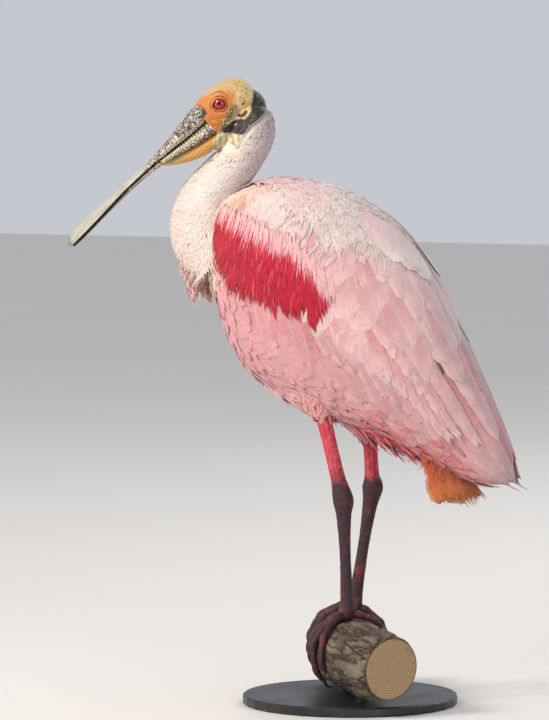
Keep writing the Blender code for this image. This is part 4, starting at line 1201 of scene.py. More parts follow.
def island_margin(u, v, loose):
    """How far each place lies inside its own cell of a jittered, staggered grid: 0 on the borders."""
    cell_u, cell_v = np.floor(u), np.floor(v)
    best, second = np.full(u.shape, 9.0), np.full(u.shape, 9.0)
    for dv in (-1, 0, 1):
        for du in (-2, -1, 0, 1, 2):
            i, j = cell_u + du, cell_v + dv
            seed_u = i + 0.5 + 0.5 * (j % 2) + (chance(i, j, 1) - 0.5) * loose
            seed_v = j + 0.5 + (chance(i, j, 2) - 0.5) * loose
            gap = np.hypot(u - seed_u, v - seed_v)
            second = np.minimum(second, np.maximum(best, gap))
            best = np.minimum(best, gap)
    return second - best


# The dark root of the upper bill on the head's side, in millimetres
BILL_ROOT = ((12, 40), (13.5, 28), (12.3, 23.6), (16.1, 20.9), (20.2, 13.8), (22.6, 9.3), (12, 0))


def bill_pattern(local, upper):
    """Relief in metres and colours of the bill's horn: pale beads and islands in dark grooves, a plain spoon,
    and painted shade along the gape and on the lower jaw towards the spoon."""
    x, y, z = local.T * 1000
    table = smooth_rows(UPPER_BILL if upper else LOWER_BILL, 200) * 1000
    top, low, edge = (np.interp(x, table[:, 0], table[:, k]) for k in (1, 2, 3))
    rise = z - low if upper else top - z
    strip = rise + 0.55 * np.maximum(0.8 * edge - np.abs(y), 0) * ramp(rise, 3, 7)
    pitch = 3.1 - 0.9 * ramp(x, 50, 95)
    level = (strip - 0.35) / (0.92 * pitch)
    free = np.clip(ramp(level, 1.2, 1.9) + ramp(x, 64, 84), 0, 1)
    along = x / pitch + (0.6 + 1.8 * free) * (turbulence(local, 210, 61) - 0.5)
    across = level * (1 - 0.22 * free) + 1.6 * free * (turbulence(local, 230, 63) - 0.5)
    margin = island_margin(along, across, 0.2 + 0.75 * free)
    worms = turbulence(local, 700, 67, 3)
    size = 0.10 + 0.16 * free * turbulence(local, 120, 65)
    share = ramp(margin + (0.3 + 0.5 * free) * (worms - 0.5), size, size + 0.16)
    rough = 1 - ramp(x, 78, 104)
    relief = 0.00045 * share * rough - 0.0002 * rough
    cream = ramp(-across, -2.2, -1.0)
    light = mix(linear(196, 186, 176), linear(228, 218, 190), cream)
    cloud = ramp(turbulence(local, 260, 71), 0.5, 0.75)
    light = mix(light, linear(160, 150, 144), cloud * 0.5 * (1 - cream))
    dark = mix(linear(62, 50, 46), linear(96, 84, 78), ramp(turbulence(local, 420, 69), 0.45, 0.7) * 0.6)
    pattern = mix(dark, light, share * (0.75 + 0.25 * chance(np.floor(along), np.floor(across), 5)))
    streaks = turbulence(local * (0.35, 1, 1), 260, 73)
    plain = mix(linear(172, 168, 148), linear(194, 190, 172), ramp(streaks, 0.35, 0.65))
    plain = mix(plain, linear(126, 116, 104), ramp(turbulence(local, 900, 79), 0.62, 0.8) * 0.3)
    colour = mix(plain, pattern, np.clip(rough * 1.3, 0, 1))
    # Dark along the edges where the jaws meet: painted shade in the gape
    colour = mix(colour, linear(60, 50, 44), ramp(-rise, -0.45, -0.15) * 0.8)
    if not upper:
        # The lower jaw darker towards the spoon: painted shade under the upper jaw, with paler patches in it
        shade_breaks = ramp(turbulence(local, 500, 83), 0.6, 0.75)
        colour = mix(colour, linear(82, 70, 62), ramp(x, 84, 110) * 0.85 * (1 - shade_breaks * 0.6))
        colour = mix(colour, dark, np.exp(-((x - 25.5) / 0.7) ** 2) * 0.9)
        return relief, colour
    line = np.exp(-((edge - np.abs(y) - 2.2) / 0.35) ** 2) * ramp(x, 118, 150) * ramp(rise, 1.4, 2.4)
    colour = mix(colour, linear(110, 100, 86), line * 0.55)
    colour = mix(colour, linear(112, 104, 98), ramp(x, 186, 191) * 0.8)
    root = inside_by(np.stack([x, z], -1), BILL_ROOT)
    return relief, mix(colour, linear(58, 46, 42), ramp(root, -1.6, -0.4) * 0.8)


def nostril_gap(points, half_height):
    """How far points lie from the nostril on their own side, in its half lengths."""
    mirrored = np.where((False, True, False), np.abs(points), points)
    return np.linalg.norm((mirrored - NOSTRIL) / (0.0066, 0.0013, half_height), axis=-1)


def make_bill(rows, name, node, upper, finish):
    grid = head_rings(rows, 420, 120, 2.2)
    if upper:
        grid[..., 2] -= 0.0012 * ramp(-nostril_gap(grid, 0.0020), -1.2, -0.4)
    piece = loft(name, from_head(grid))
    local = to_head(points_of(piece))
    relief, colour = bill_pattern(local, upper)
    if upper:
        # The nostril near black: painted shade inside it
        colour = mix(colour, DARK, ramp(-nostril_gap(local, 0.0022), -1.3, -0.8) * 0.9)
    move_points(piece, points_of(piece) + vertex_normals(piece) * relief[:, None])
    paint(piece, colour)
    piece.data.materials.append(finish)
    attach(piece, "root")
    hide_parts(node)


def bill_finish():
    finish = Finish("bill_horn_look", 0.5)
    fine = finish.noise(1500, 4.0)
    broad = finish.noise(160, 3.0)
    finish.tinted(finish.stretch(finish.weighed((broad, 0.5), (fine, 0.5)), 0.3, 0.7, 0.84, 1.1))
    finish.rough(finish.stretch(fine, 0.3, 0.7, 0.36, 0.58))
    finish.bump(finish.weighed((finish.noise(420, 4.0), 1.5), (fine, 1.0)), 0.00016)
    return finish.material


# Legs
def shank_rows(side, places):
    _, (ex, ez), (ax, az), (fx, fz) = places
    y = side * LEG_SPREAD
    tx, tz = ax - ex, az - ez
    return (
        (ex - 0.14 * tx, y, ez - 0.14 * tz, 0.0068, 0.0062),
        (ex + 0.12 * tx, y, ez + 0.12 * tz, 0.0071, 0.0065),
        (ex + 0.35 * tx, y, ez + 0.35 * tz, 0.0066, 0.0058),
        (ex + 0.75 * tx, y, ez + 0.75 * tz, 0.0070, 0.0060),
        (ax, y, az, 0.0098, 0.0080),
        (ax + 0.16 * (fx - ax), y, az + 0.16 * (fz - az), 0.0070, 0.0062),
        (ax + 0.5 * (fx - ax), y, az + 0.5 * (fz - az), 0.0052, 0.0046),
        (ax + 0.88 * (fx - ax), y, az + 0.88 * (fz - az), 0.0060, 0.0052),
        (fx, y, fz, 0.0072, 0.0064),
        (fx - 0.001, y, 0.0050, 0.0078, 0.0070),
        (fx - 0.002, y, 0.0002, 0.0070, 0.0064),
    )


# The legs' colours
LEG_RED = linear(206, 58, 76)
LEG_DARK = linear(58, 28, 38)
LEG_PATCH = linear(150, 44, 50)


def make_shank(side, places):
    """The bare leg, with rings of scales, red at its top and dark below."""
    tube = Tube(shank_rows(side, places), 2.0)
    t, turn = ring_grid(260, 40)
    points = tube(t, turn)
    _, _, normal = slopes_of(tube, t, turn, 0.004, 0.05)
    station = t * 10
    ring = station * 9 + 0.5 * np.floor(turn / (2 * math.pi) * 8) + turbulence(points, 300, 91) * 0.8
    scale_y = np.abs((ring - np.floor(ring)) * 2 - 1)
    around = turn / (2 * math.pi) * 8
    scale_x = np.abs((around - np.floor(around)) * 2 - 1)
    groove = np.maximum(ramp(scale_y, 0.72, 1.0), ramp(scale_x, 0.80, 1.0) * 0.8)
    points = points + normal * (-0.00032 * groove + 0.0004 * (turbulence(points, 420, 95) - 0.5))[..., None]
    piece = loft("shank", points)
    flat = with_ends(points)
    place = np.concatenate([station.ravel(), [0], [10]])
    waver = (turbulence(flat, 160, 97) - 0.5) * 1.5
    colour = mix(LEG_RED, linear(224, 96, 104), ramp(turbulence(flat, 500, 99), 0.45, 0.75))
    colour = mix(colour, LEG_DARK, ramp(place + waver * 0.8, 2.5, 3.5))
    patch = ramp(turbulence(flat, 90, 103), 0.56, 0.72) * ramp(place, 3.5, 4.5)
    colour = mix(colour, LEG_PATCH, patch * 0.6)
    grooves = np.concatenate([groove.ravel(), [0, 0]])
    colour = mix(colour, mix(colour, linear(28, 12, 18), 0.6), grooves * 0.8)
    pale = ramp(turbulence(flat, 900, 107), 0.6, 0.8) * (1 - grooves) * ramp(place, 2.5, 3.5)
    colour = mix(colour, linear(110, 78, 84), pale * 0.5)
    paint(piece, colour)
    return piece


PERCH_STEPS = 60
PERCH_TABLE = smooth_rows(PERCH, PERCH_STEPS + 1)


def perch_row(place):
    place = np.clip(place, 0, PERCH_STEPS)
    return np.stack([np.interp(place, np.arange(PERCH_STEPS + 1), column) for column in PERCH_TABLE.T], -1)


def perch_frame(t):
    """Centre of the limb at t from 0 to 1, directions along it, level and up across it, and its radius."""
    place = np.clip(np.asarray(t, float), 0, 1) * PERCH_STEPS
    row = perch_row(place)
    along = (perch_row(place + 1) - perch_row(place - 1))[..., :3]
    along /= np.linalg.norm(along, axis=-1, keepdims=True)
    level = np.cross(np.array([0, 0, 1.0]), along)
    level /= np.linalg.norm(level, axis=-1, keepdims=True)
    centre = row[..., :3] + (0, 0, PERCH_TOP - PERCH_RADIUS)
    return centre, along, level, np.cross(along, level), PERCH_RADIUS * row[..., 3]


def perch_place(t, turn, lift):
    """Points on the limb at those turns from its top, lifted off it."""
    centre, _, level, up, radius = perch_frame(t)
    side = np.asarray(radius + lift)[..., None]
    return centre + (up * np.cos(turn)[..., None] - level * np.sin(turn)[..., None]) * side


def perch_spot(x, y):
    """Where on the limb a foot over x, y stands: its place along the limb and turn from its top."""
    t = np.linspace(0, 1, 401)
    centre, along, _, _, _ = perch_frame(t)
    gap = np.array([x, y, 0]) - centre * (1, 1, 0)
    best = t[np.argmin(np.abs((gap * along).sum(-1)))]
    centre, _, level, _, radius = perch_frame(best)
    return best, -math.asin(float((np.array([x, y, 0]) - centre * (1, 1, 0)) @ level / radius))


def make_toe(side, foot_x, spec):
    """One toe over the limb, its joints swollen and its back ringed with scutes, and its claw."""
    _, way, length, drift, thick, thin = spec
    place, start = perch_spot(foot_x, side * LEG_SPREAD)
    share = np.linspace(-0.06, 1, 90)
    joints = 3 if length > 0.05 else 2
    swell = 0.0006 * np.maximum(np.cos(share * joints * 2 * math.pi + math.pi), 0)
    radius = thick + (thin - thick) * share + swell
    radius = radius * (1 - 0.35 * ramp(share, 0.93, 1.0))
    turn = start + way * share * length / (PERCH_RADIUS + thin)
    aside = -drift * np.sin(share * math.pi / 2) / PERCH_LENGTH
    path = perch_place(place + aside, turn, radius * 0.93 + 0.0003)
    toe = limb_mesh(path, radius, 28, rings=length / SCUTE_PITCH)
    claw_share = np.linspace(-0.25, 1, 18)
    claw_turn = start + way * (length + CLAW_LENGTH * claw_share) / (PERCH_RADIUS + thin)
    claw_radius = thin * 0.72 * (1 - 0.88 * np.clip(claw_share, 0, 1)) + 0.0001
    lift = claw_radius + 0.0006 + 0.0020 * np.sin(np.clip(claw_share, 0, 1) * math.pi)
    claw_place = place - drift * (1 + 0.08 * claw_share) / PERCH_LENGTH
    claw = limb_mesh(perch_place(claw_place, claw_turn, lift), claw_radius, 16, name="claw")
    return toe, claw


def limb_mesh(path, radius, columns, rings=0.0, name="toe"):
    """A toe or claw along a path. A toe has rings of scutes and is painted."""
    along = np.gradient(path, axis=0)
    along /= np.linalg.norm(along, axis=1)[:, None]
    wide = np.array([0, 1.0, 0]) - along * along[:, 1:2]
    wide /= np.linalg.norm(wide, axis=1)[:, None]
    deep = np.cross(wide, along)
    turn = np.linspace(0, 2 * math.pi, columns, endpoint=False)
    ring = wide[:, None] * np.cos(turn)[None, :, None] + deep[:, None] * np.sin(turn)[None, :, None]
    size = radius[:, None] * np.ones(columns)
    groove = np.zeros_like(size)
    if rings:
        step = np.linspace(0, rings, len(path))[:, None] + 0 * turn
        groove = ramp(np.abs((step - np.floor(step)) * 2 - 1), 0.66, 1.0)
        size = size - 0.00026 * groove
    points = path[:, None] + ring * size[..., None]
    piece = loft(name, points)
    if rings:
        flat = with_ends(points)
        grooves = np.concatenate([groove.ravel(), [0, 0]])
        colour = mix(LEG_DARK, LEG_PATCH, ramp(turbulence(flat, 140, 113), 0.5, 0.75) * 0.45)
        pale = ramp(turbulence(flat, 900, 109), 0.55, 0.8) * (1 - grooves)
        colour = mix(colour, linear(104, 74, 78), pale * 0.6)
        colour = mix(colour, linear(24, 12, 16), grooves * 0.7)
        paint(piece, colour)
    return piece


def skin_finish():
    """Bare skin: painted tones with fine wrinkles, pores and a soft shine."""
    finish = Finish("bare_skin", 0.52, Specular_IOR_Level=0.42)
    fine = finish.noise(1700, 4.0)
    wrinkle = finish.noise(520, 5.0, distortion=1.2)
    pores = finish.cells(1100)
    finish.tinted(finish.stretch(finish.weighed((wrinkle, 0.55), (fine, 0.45)), 0.32, 0.68, 0.80, 1.12))
    finish.rough(finish.stretch(wrinkle, 0.3, 0.7, 0.42, 0.66))
    finish.bump(finish.weighed((wrinkle, 1.4), (pores, 0.5), (fine, 0.6)), 0.00035)
    return finish.material


def claw_finish():
    finish = Finish("claw_horn", 0.35)
    streaks = finish.noise(700, 3.0, distortion=0.6)
    finish.colour(finish.blend(streaks, linear(30, 22, 22), linear(86, 66, 60)))
    finish.bump(streaks, 0.00012)
    return finish.material


def paint_as_coats(piece, coats):
    """The tint of the three nearest feather roots at each point, a little darker as painted shade under the
    coat.
    """
    roots = np.vstack([part for coat in coats for part in coat.roots])[::3]
    tints = np.vstack([part for coat in coats for part in coat.root_tints])[::3]
    tree = KDTree(len(roots))
    for number, root in enumerate(roots):
        tree.insert(root, number)
    tree.balance()
    near = np.array([[found[1] for found in tree.find_n(point, 3)] for point in points_of(piece)])
    # A little darker: painted shade under the feathers
    paint(piece, tints[near].mean(1) * 0.92)


def make_skin(coats):
    """One skin for head, neck, body, tail, legs and feet, tinted under the coat as the feathers are."""
    body = make_body_skin()
    paint_as_coats(body, coats)
    head = make_head_skin()
    points, faces = capped(from_head(head_rings(SKULL, 60, 64, 2.0)))
    surface = BVHTree.FromPolygons([Vector(p) for p in points], [tuple(map(int, f)) for f in faces])
    pieces = [body, head] + [make_lids(side, surface) for side in (1, -1)]
    claws = []
    for side, places in LEGS.values():
        pieces.append(make_shank(side, places))
        for spec in TOES:
            toe, claw = make_toe(side, places[3][0], spec)
            pieces.append(toe)
            claws.append(claw)
    skin = join_painted(pieces, "skin")
    skin.data.materials.append(skin_finish())
    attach(skin, "root")
    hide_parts("head", "neck_upper", "neck_middle", "neck_lower", "torso", "wing_left",
                "wing_right", "thigh_left", "thigh_right", "tail", "tibia_left", "tibia_right",
                "tarsus_left", "tarsus_right", "foot_left", "foot_right", "throat_pouch")
    nails = join(claws, "claws")
    nails.data.materials.append(claw_finish())
    nails.data.shade_smooth()
    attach(nails, "root")


def join_painted(pieces, name):
    """Several painted meshes as one, their tints kept."""
    tints = []
    for piece in pieces:
        found = np.empty(len(piece.data.vertices) * 4, np.float32)
        piece.data.color_attributes["tint"].data.foreach_get("color", found)
        tints.append(found.reshape(-1, 4)[:, :3])
    made = join(pieces, name)
    for layer in list(made.data.color_attributes):
        made.data.color_attributes.remove(layer)
    paint(made, np.vstack(tints))
    made.data.shade_smooth()
    return made


# Limb and stand
def make_perch():
    """The limb: plates of bark between cracks, smoother where the feet stand."""
    t, turn = ring_grid(300, 260)
    base = perch_place(t, turn, 0.0)
    centre = perch_frame(t)[0]
    normal = (base - centre) / np.linalg.norm(base - centre, axis=-1, keepdims=True)
    drawn_out = t * PERCH_LENGTH * 0.35
    lengthwise = np.stack([drawn_out, np.cos(turn) * PERCH_RADIUS, np.sin(turn) * PERCH_RADIUS], -1)
    plates = turbulence(lengthwise, 150, 121, 3)
    cracks = ramp(np.abs(turbulence(lengthwise, 95, 127, 3) - 0.5), 0.0, 0.07)
    fine = turbulence(base, 700, 131, 2)
    height = 0.0016 * (ramp(plates, 0.35, 0.6) * cracks - 1) - 0.0012 * (1 - cracks) + 0.0005 * (fine - 0.5)
    under = np.zeros_like(height)
    for side, places in LEGS.values():
        spot, start = perch_spot(places[3][0], side * LEG_SPREAD)
        near = ramp(-np.abs(t - spot), -0.18, -0.12) * ramp(np.cos(turn - start), -0.9, -0.4)
        under = np.maximum(under, near)
    height = np.where(under > 0, height * (1 - 0.6 * under) - 0.0004 * under, height)
    ends = np.minimum(t, 1 - t) * PERCH_LENGTH
    height = height - 0.0018 * ramp(-ends, -0.0022, 0.0)
    points = base + normal * height[..., None]
    piece = loft("limb", points)
    flat = with_ends(points)
    depth = np.concatenate([(cracks * ramp(plates, 0.3, 0.6)).ravel(), [1, 1]])
    blotch = turbulence(flat, 60, 137)
    colour = mix(linear(58, 46, 38), linear(132, 116, 98), depth * (0.35 + 0.65 * ramp(blotch, 0.3, 0.7)))
    colour = mix(colour, linear(150, 142, 128), ramp(turbulence(flat, 330, 139), 0.62, 0.8) * 0.5)
    colour = mix(colour, linear(92, 82, 60), ramp(turbulence(flat, 34, 149), 0.55, 0.75) * 0.45)
    paint(piece, colour)
    finish = Finish("bark_look", 0.9)
    rough = finish.noise(900, 5.0)
    finish.tinted(finish.stretch(rough, 0.3, 0.7, 0.72, 1.18))
    finish.bump(finish.math("ADD", rough, finish.noise(260, 5.0)), 0.0010)
    piece.data.materials.append(finish.material)
    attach(piece, "root")
    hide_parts("perch")
    make_limb_ends()


def cut_wood():
    """Sawn wood with rings and rays, dark at its rim."""
    finish = Finish("cut_wood", 0.75)
    radius = finish.attribute("ring", "Fac")
    spoke = finish.attribute("spoke", "Fac")
    waver = finish.noise(60, 3.0)
    rings = finish.math("SINE", finish.weighed((waver, 9.0), (radius, 4200.0)))
    wood = finish.blend(finish.stretch(rings, -0.8, 0.9), linear(150, 118, 82), linear(198, 168, 126))
    place = finish.gather(finish.math("MULTIPLY", spoke, 16.0), finish.math("MULTIPLY", radius, 60.0), 0.0)
    rays = finish.noise(1.0, 3.0, place)
    wood = finish.blend(finish.stretch(rays, 0.58, 0.72), wood, linear(120, 90, 62))
    finish.colour(finish.blend(finish.stretch(radius, 0.0272, 0.0285), wood, linear(60, 48, 38)))
    finish.bump(finish.math("ADD", rings, finish.noise(1200, 3.0)), 0.0002)
    return finish.material


def make_limb_ends():
    """The sawn ends of the limb, slightly crowned discs just inside its bark."""
    wood = cut_wood()
    rows, columns = 14, 96
    for number, t, way in ((1, 0.0, -1), (2, 1.0, 1)):
        centre, along, level, up, radius = perch_frame(t)
        share, turn = ring_grid(rows, columns, 1.0, 0.0)
        size = share * (radius - 0.0012)
        crown = 0.0005 - 0.0004 * share**4
        across = level * np.cos(turn)[..., None] + up * np.sin(turn)[..., None]
        grid = centre + along * way * crown[..., None] + across * size[..., None]
        faces = grid_faces(rows, columns)
        piece = mesh_piece(f"sawn_end_{number}", grid.reshape(-1, 3), faces if way < 0 else faces[:, ::-1])
        mark(piece, "ring", size)
        mark(piece, "spoke", turn)
        piece.data.materials.append(wood)
        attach(piece, "root")


def finish_stand():
    """A satin dark coating with fine scuffs on the base and rods."""
    finish = Finish("stand_coating", 0.38, Metallic=0.55)
    scuffs = finish.noise(900, 4.0)
    cloud = finish.noise(24, 3.0)
    finish.colour(finish.blend(finish.stretch(cloud, 0.3, 0.7), (0.030, 0.030, 0.032), (0.052, 0.050, 0.050)))
    finish.rough(finish.stretch(finish.weighed((cloud, 0.4), (scuffs, 0.6)), 0.3, 0.7, 0.28, 0.52))
    finish.bump(scuffs, 0.00006)
    for name in ("stand_base", "stand_rod_1", "stand_rod_2"):
        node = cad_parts[name]
        node.data.materials.clear()
        node.data.materials.append(finish.material)


# Plumage. Edges on the folded wing, as metres along it and degrees from the ridge
CRIMSON_TOP = ((-0.009, 88), (0.013, 83), (0.036, 79), (0.066, 72), (0.088, 73), (0.119, 77),
               (0.140, 80))
CRIMSON_LOW = ((-0.012, 117), (0.013, 115), (0.033, 107), (0.043, 103), (0.061, 97), (0.081, 93),
               (0.098, 90), (0.126, 88), (0.140, 85))
# The wing's front edge
WING_FRONT = ((-0.006, 8), (-0.012, 40), (-0.018, 84), (-0.009, 106), (0.006, 117), (0.023, 122),
              (0.043, 126))


def crimson_top(s):
    return np.interp(s, *np.array(CRIMSON_TOP).T)


def crimson_low(s):
    return np.interp(s, *np.array(CRIMSON_LOW).T)


def wing_front(degrees):
    """How far along the wing its front edge lies, at that many degrees from the ridge."""
    rows = np.array(WING_FRONT)
    return np.interp(degrees, rows[:, 1], rows[:, 0])


def back_edge(s):
    """Degrees from the ridge at which the folded wing comes out from under the mantle."""
    share = np.clip((s + 0.020) / 0.148, 0, 1)
    return 38 * np.cos(share * math.pi / 2) ** 0.8


def scatter(surface, a_range, b_range, pitch_a, pitch_b, jitter):
    """Chart places in staggered rows, pitches in metres. b_range may depend on a."""
    span = b_range if callable(b_range) else lambda _: b_range
    a = np.linspace(*a_range, 160)
    spans = np.array([span(v) for v in a])
    steps = np.zeros(len(a) - 1)
    for share in (0.1, 0.3, 0.5, 0.7, 0.9):
        line = surface(a, spans[:, 0] * (1 - share) + spans[:, 1] * share)
        steps = np.maximum(steps, np.linalg.norm(np.diff(line, axis=0), axis=1))
    length = np.concatenate([[0], np.cumsum(steps)])
    count = max(2, int(length[-1] / pitch_a))
    rows = np.interp(np.linspace(0, length[-1], count), length, a)
    gaps = np.gradient(rows)
    found_a, found_b = [], []
    for number, row in enumerate(rows):
        b = np.linspace(*span(row), 60)
        line = surface(row + 0 * b, b)
        arc = np.concatenate([[0], np.cumsum(np.linalg.norm(np.diff(line, axis=0), axis=1))])
        many = int(arc[-1] / pitch_b)
        if many < 1:
            continue
        share = (np.arange(many) + 0.25 + 0.5 * (number % 2) + jitter * (rng.random(many) - 0.5)) / many
        places = np.interp(share * arc[-1], arc, b)
        here, ahead = (surface(row + step + 0 * places, places) for step in (0, gaps[number]))
        keep = rng.random(many) < np.linalg.norm(ahead - here, axis=1) / (0.8 * pitch_a)
        found_b.append(places[keep])
        found_a.append(row + jitter * (rng.random(keep.sum()) - 0.5) * gaps[number])
    return np.concatenate(found_a), np.concatenate(found_b)


def wobble(n, spread):
    """Factors for n feathers, within that share of 1."""
    return 1 + spread * (rng.random(n) * 2 - 1)


def shades(base, n, spread):
    """That colour for each of n feathers, a little lighter or darker."""
    base = np.broadcast_to(np.asarray(base, float), (n, 3))
    return np.clip(base * (1 + spread * (rng.random((n, 1)) * 2 - 1)), 0, 1)


def cover_colour(s, degrees, points):
    """Ground colour of the wing's coverts by place."""
    waver = turbulence(points, 26, 201)
    colour = mix(SHELL, PINK, ramp(degrees + 24 * (waver - 0.5), 62, 104) * 0.9)
    colour = mix(colour, ROSE, ramp(s, 0.10, 0.24) * ramp(degrees, 70, 105) * 0.35)
    colour = mix(colour, GREY, ramp(-degrees, -30, -12) * 0.4 * ramp(s, 0.02, 0.08))
    colour = mix(colour, WHITE, ramp(-degrees, -70, -46) * ramp(-s, -0.075, -0.02) * 0.55)
    edge = s - wing_front(degrees)
    colour = mix(colour, STRAW, ramp(-edge, -0.024, -0.004) * ramp(degrees, 16, 34) * 0.6)
    colour = mix(colour, CREAM, ramp(-edge, -0.007, -0.002) * 0.5)
    crease = np.exp(-((edge - 0.0085) / 0.0011) ** 2) + np.exp(-((edge - 0.0150) / 0.0011) ** 2)
    return mix(colour, linear(186, 112, 62), crease * ramp(degrees, 22, 34) * ramp(-degrees, -84, -70) * 0.6)


def lay_coverts(coat, side):
    """Small soft feathers over the shoulder, from the front edge to the crimson."""
    span = lambda s: (math.radians(back_edge(s) * 0.7 + 2), math.radians(124))
    s, turn = scatter(CLOAK, (-0.018, 0.150), span, 0.0034, 0.0026, 0.8)
    degrees = np.degrees(turn)
    edge = s - wing_front(degrees)
    keep = np.where(degrees < crimson_top(s) + 5, edge > -0.003, edge < 0.005)
    s, turn, degrees = s[keep], turn[keep], degrees[keep]
    n = len(s)
    base = CLOAK(s, turn)
    heading = np.radians(np.interp(degrees, (5, 45, 80, 124), (6, 24, 46, 56))) * wobble(n, 0.15)
    near = ramp(s - wing_front(degrees), 0.0, 0.022)
    heading = heading + np.radians(24) * (1 - near)
    tint = shades(cover_colour(s, degrees, base), n, 0.03)
    length = (0.010 + 0.005 * near) * wobble(n, 0.2)
    width = 0.0036 * wobble(n, 0.2)
    lift = (0.0003 + 0.0007 * near, 0.0005 + 0.0009 * near + 0.0004 * near * rng.random(n))
    coat.add(CLOAK, s, turn * side, heading * side, length, width, "soft", tint, mix(tint, WHITE, 0.2),
             lift, 0.0002, rag=0.2)


# Layers of streaks: pitch along and across, length, width
CRIMSON_LAYERS = ((0.0022, 0.0017, 0.0170, 0.0022), (0.0020, 0.0015, 0.0150, 0.0015))


def lay_crimson(coat, side):
    """The carmine lesser coverts: narrow streaks, pale above and pointed below."""
    for layer, (pitch_a, pitch_b, reach, width) in enumerate(CRIMSON_LAYERS):
        span = lambda s: (math.radians(crimson_top(s) - 11), math.radians(crimson_low(s) + 2))
        s, turn = scatter(CLOAK, (-0.014, 0.116), span, pitch_a, pitch_b, 0.9)
        degrees = np.degrees(turn)
        points = CLOAK(s, turn)
        tongue = 15 * (turbulence(points * (1, 1, 0.4), 190, 301) - 0.5) - 1
        tongue = tongue + 2.0 * rng.standard_normal(len(s))
        fringe = 6 * (turbulence(points, 200, 303) - 0.5) + 2 * rng.standard_normal(len(s))
        keep = (s > wing_front(degrees) + 0.003) & (degrees < crimson_low(s) + tongue - 3)
        keep &= degrees > crimson_top(s) - 5 + fringe
        s, turn, degrees = s[keep], turn[keep], degrees[keep]
        n = len(s)
        share = (degrees - crimson_top(s)) / np.maximum(crimson_low(s) - crimson_top(s), 1)
        heading = np.radians(56 - 110 * np.clip(s, 0, 0.14)) + 0.09 * rng.standard_normal(n)
        red = mix(CRIMSON, DEEP_CRIMSON, rng.random(n) ** 2 * 0.9)
        waver = 0.05 * rng.standard_normal(n) + 0.1 * (turbulence(points[keep], 160, 305) - 0.5)
        blend = ramp(share + waver, -0.12, 0.14)
        veil = mix(linear(240, 192, 192), linear(228, 106, 122), ramp(blend, 0.0, 0.6))
        tint = mix(veil, red, ramp(blend, 0.3, 0.9))
        pale = rng.random(n) < 0.05 * layer
        tint = mix(tint, linear(230, 96, 116), pale * 0.8)
        length = reach * wobble(n, 0.3) * (1 + 0.3 * ramp(share, 0.6, 1.0))
        low = 0.0024 + 0.0004 * layer
        coat.add(CLOAK, s, turn * side, heading * side, length, width * wobble(n, 0.3), "hair", tint, tint,
                 (low, low + 0.0004 * rng.random(n)), 0.0001)
    lay_tongues(coat, side)


def lay_tongues(coat, side):
    """Broader pointed carmine feathers that end over the pink below the band."""
    s = 0.008 + 0.104 * (np.arange(30) + rng.random(30)) / 30
    degrees = crimson_low(s) + 1 + 5 * rng.random(30)
    reach = 0.020 + 0.006 * rng.random(30)
    slant = np.interp(s, (0, 0.12), (56, 44)) + 5 * rng.standard_normal(30)
    tint = mix(CRIMSON, linear(222, 84, 104), rng.random(30) * 0.7)
    add_by_tips(coat, side, np.stack([s, degrees], -1), reach, slant, 0.0052 * wobble(30, 0.25), "hair",
                tint, mix(tint, linear(228, 104, 122), 0.5), (0.0022, 0.0027), arch=0.0003)


def add_by_tips(coat, side, places, reach, slant, width, kind, tint, tip_tint, lift, **more):
    """Long feathers given by where their tips lie: distance along the wing and degrees from the ridge."""
    n = len(places)
    s, turn = places[:, 0], np.radians(places[:, 1]) * side
    reach, slant = np.broadcast_to(reach, (n,)), np.radians(np.broadcast_to(slant, (n,))) * side
    along, _, _ = slopes_of(CLOAK, s, turn, 0.002, 0.02)
    root_s = s - reach * np.cos(slant) / np.linalg.norm(along, axis=-1)
    root_turn = turn
    for _ in range(6):
        _, sideways, _ = slopes_of(CLOAK, root_s, root_turn, 0.002, 0.02)
        root_turn = turn - reach * np.sin(slant) / np.maximum(np.linalg.norm(sideways, axis=-1), 0.012)
    coat.add(CLOAK, root_s, root_turn, slant, reach, width, kind, tint, tip_tint, lift, **more)


def lay_tiers(coat, side, tiers, spread, widen=1.0):
    """Tiers of large feathers in order, each with its tips along a line on the wing that may be bowed."""
    for (start, end, bow, count), reach, slant, width, (kind, root, tip), (low, high), rag in tiers:
        share = np.linspace(0, 1, count)
        between = lambda pair: pair[0] + (pair[1] - pair[0]) * share
        tint, tip_tint = shades(root, count, spread), shades(tip, count, spread)
        s = between((start[0], end[0])) + 0.002 * (rng.random(count) - 0.5)
        degrees = between((start[1], end[1])) + bow * np.sin(share * math.pi)
        degrees = degrees + 2.0 * (rng.random(count) - 0.5)
        lift = (low, high + 0.0002 * (np.arange(count) % 2))
        add_by_tips(coat, side, np.stack([s, degrees], -1), between(reach), between(slant),
                    between(width) * widen, kind, tint, tip_tint, lift, arch=0.0005, tilt=-0.0003 * side,
                    rag=rag)


# Tiers: the first and last tip, the bow in degrees and the count; reach, slant and width from first to
# last; kind, colour of root and tip; height of root and tip; rag
FLIGHT_TIERS = (
    (((0.085, 125), (0.345, 124), 2, 22), (0.085, 0.120), (34, 5), (0.027, 0.020),
     ("long", ROSE, SHELL), (0.0000, 0.0005), 0.03),
    (((0.354, 118), (0.357, 24), 0, 12), (0.120, 0.110), (3, 1), (0.020, 0.020),
     ("long", PINK, SHELL), (0.0002, 0.0007), 0.05),
    (((0.350, 112), (0.350, 44), 0, 8), (0.100, 0.100), (3, 2), (0.020, 0.020),
     ("long", PINK, SHELL), (0.0006, 0.0011), 0.08),
    (((0.060, 113), (0.325, 112), 0, 19), (0.070, 0.110), (38, 7), (0.027, 0.023),
     ("long", ROSE, PINK), (0.0000, 0.0009), 0.03),
    (((0.060, 104), (0.308, 99), 0, 17), (0.065, 0.095), (40, 9), (0.028, 0.024),
     ("long", ROSE, PINK), (0.0001, 0.0013), 0.03),
    (((0.120, 94), (0.290, 86), 0, 11), (0.065, 0.085), (38, 12), (0.028, 0.024),
     ("round", PINK, SHELL), (0.0003, 0.0016), 0.06),
)
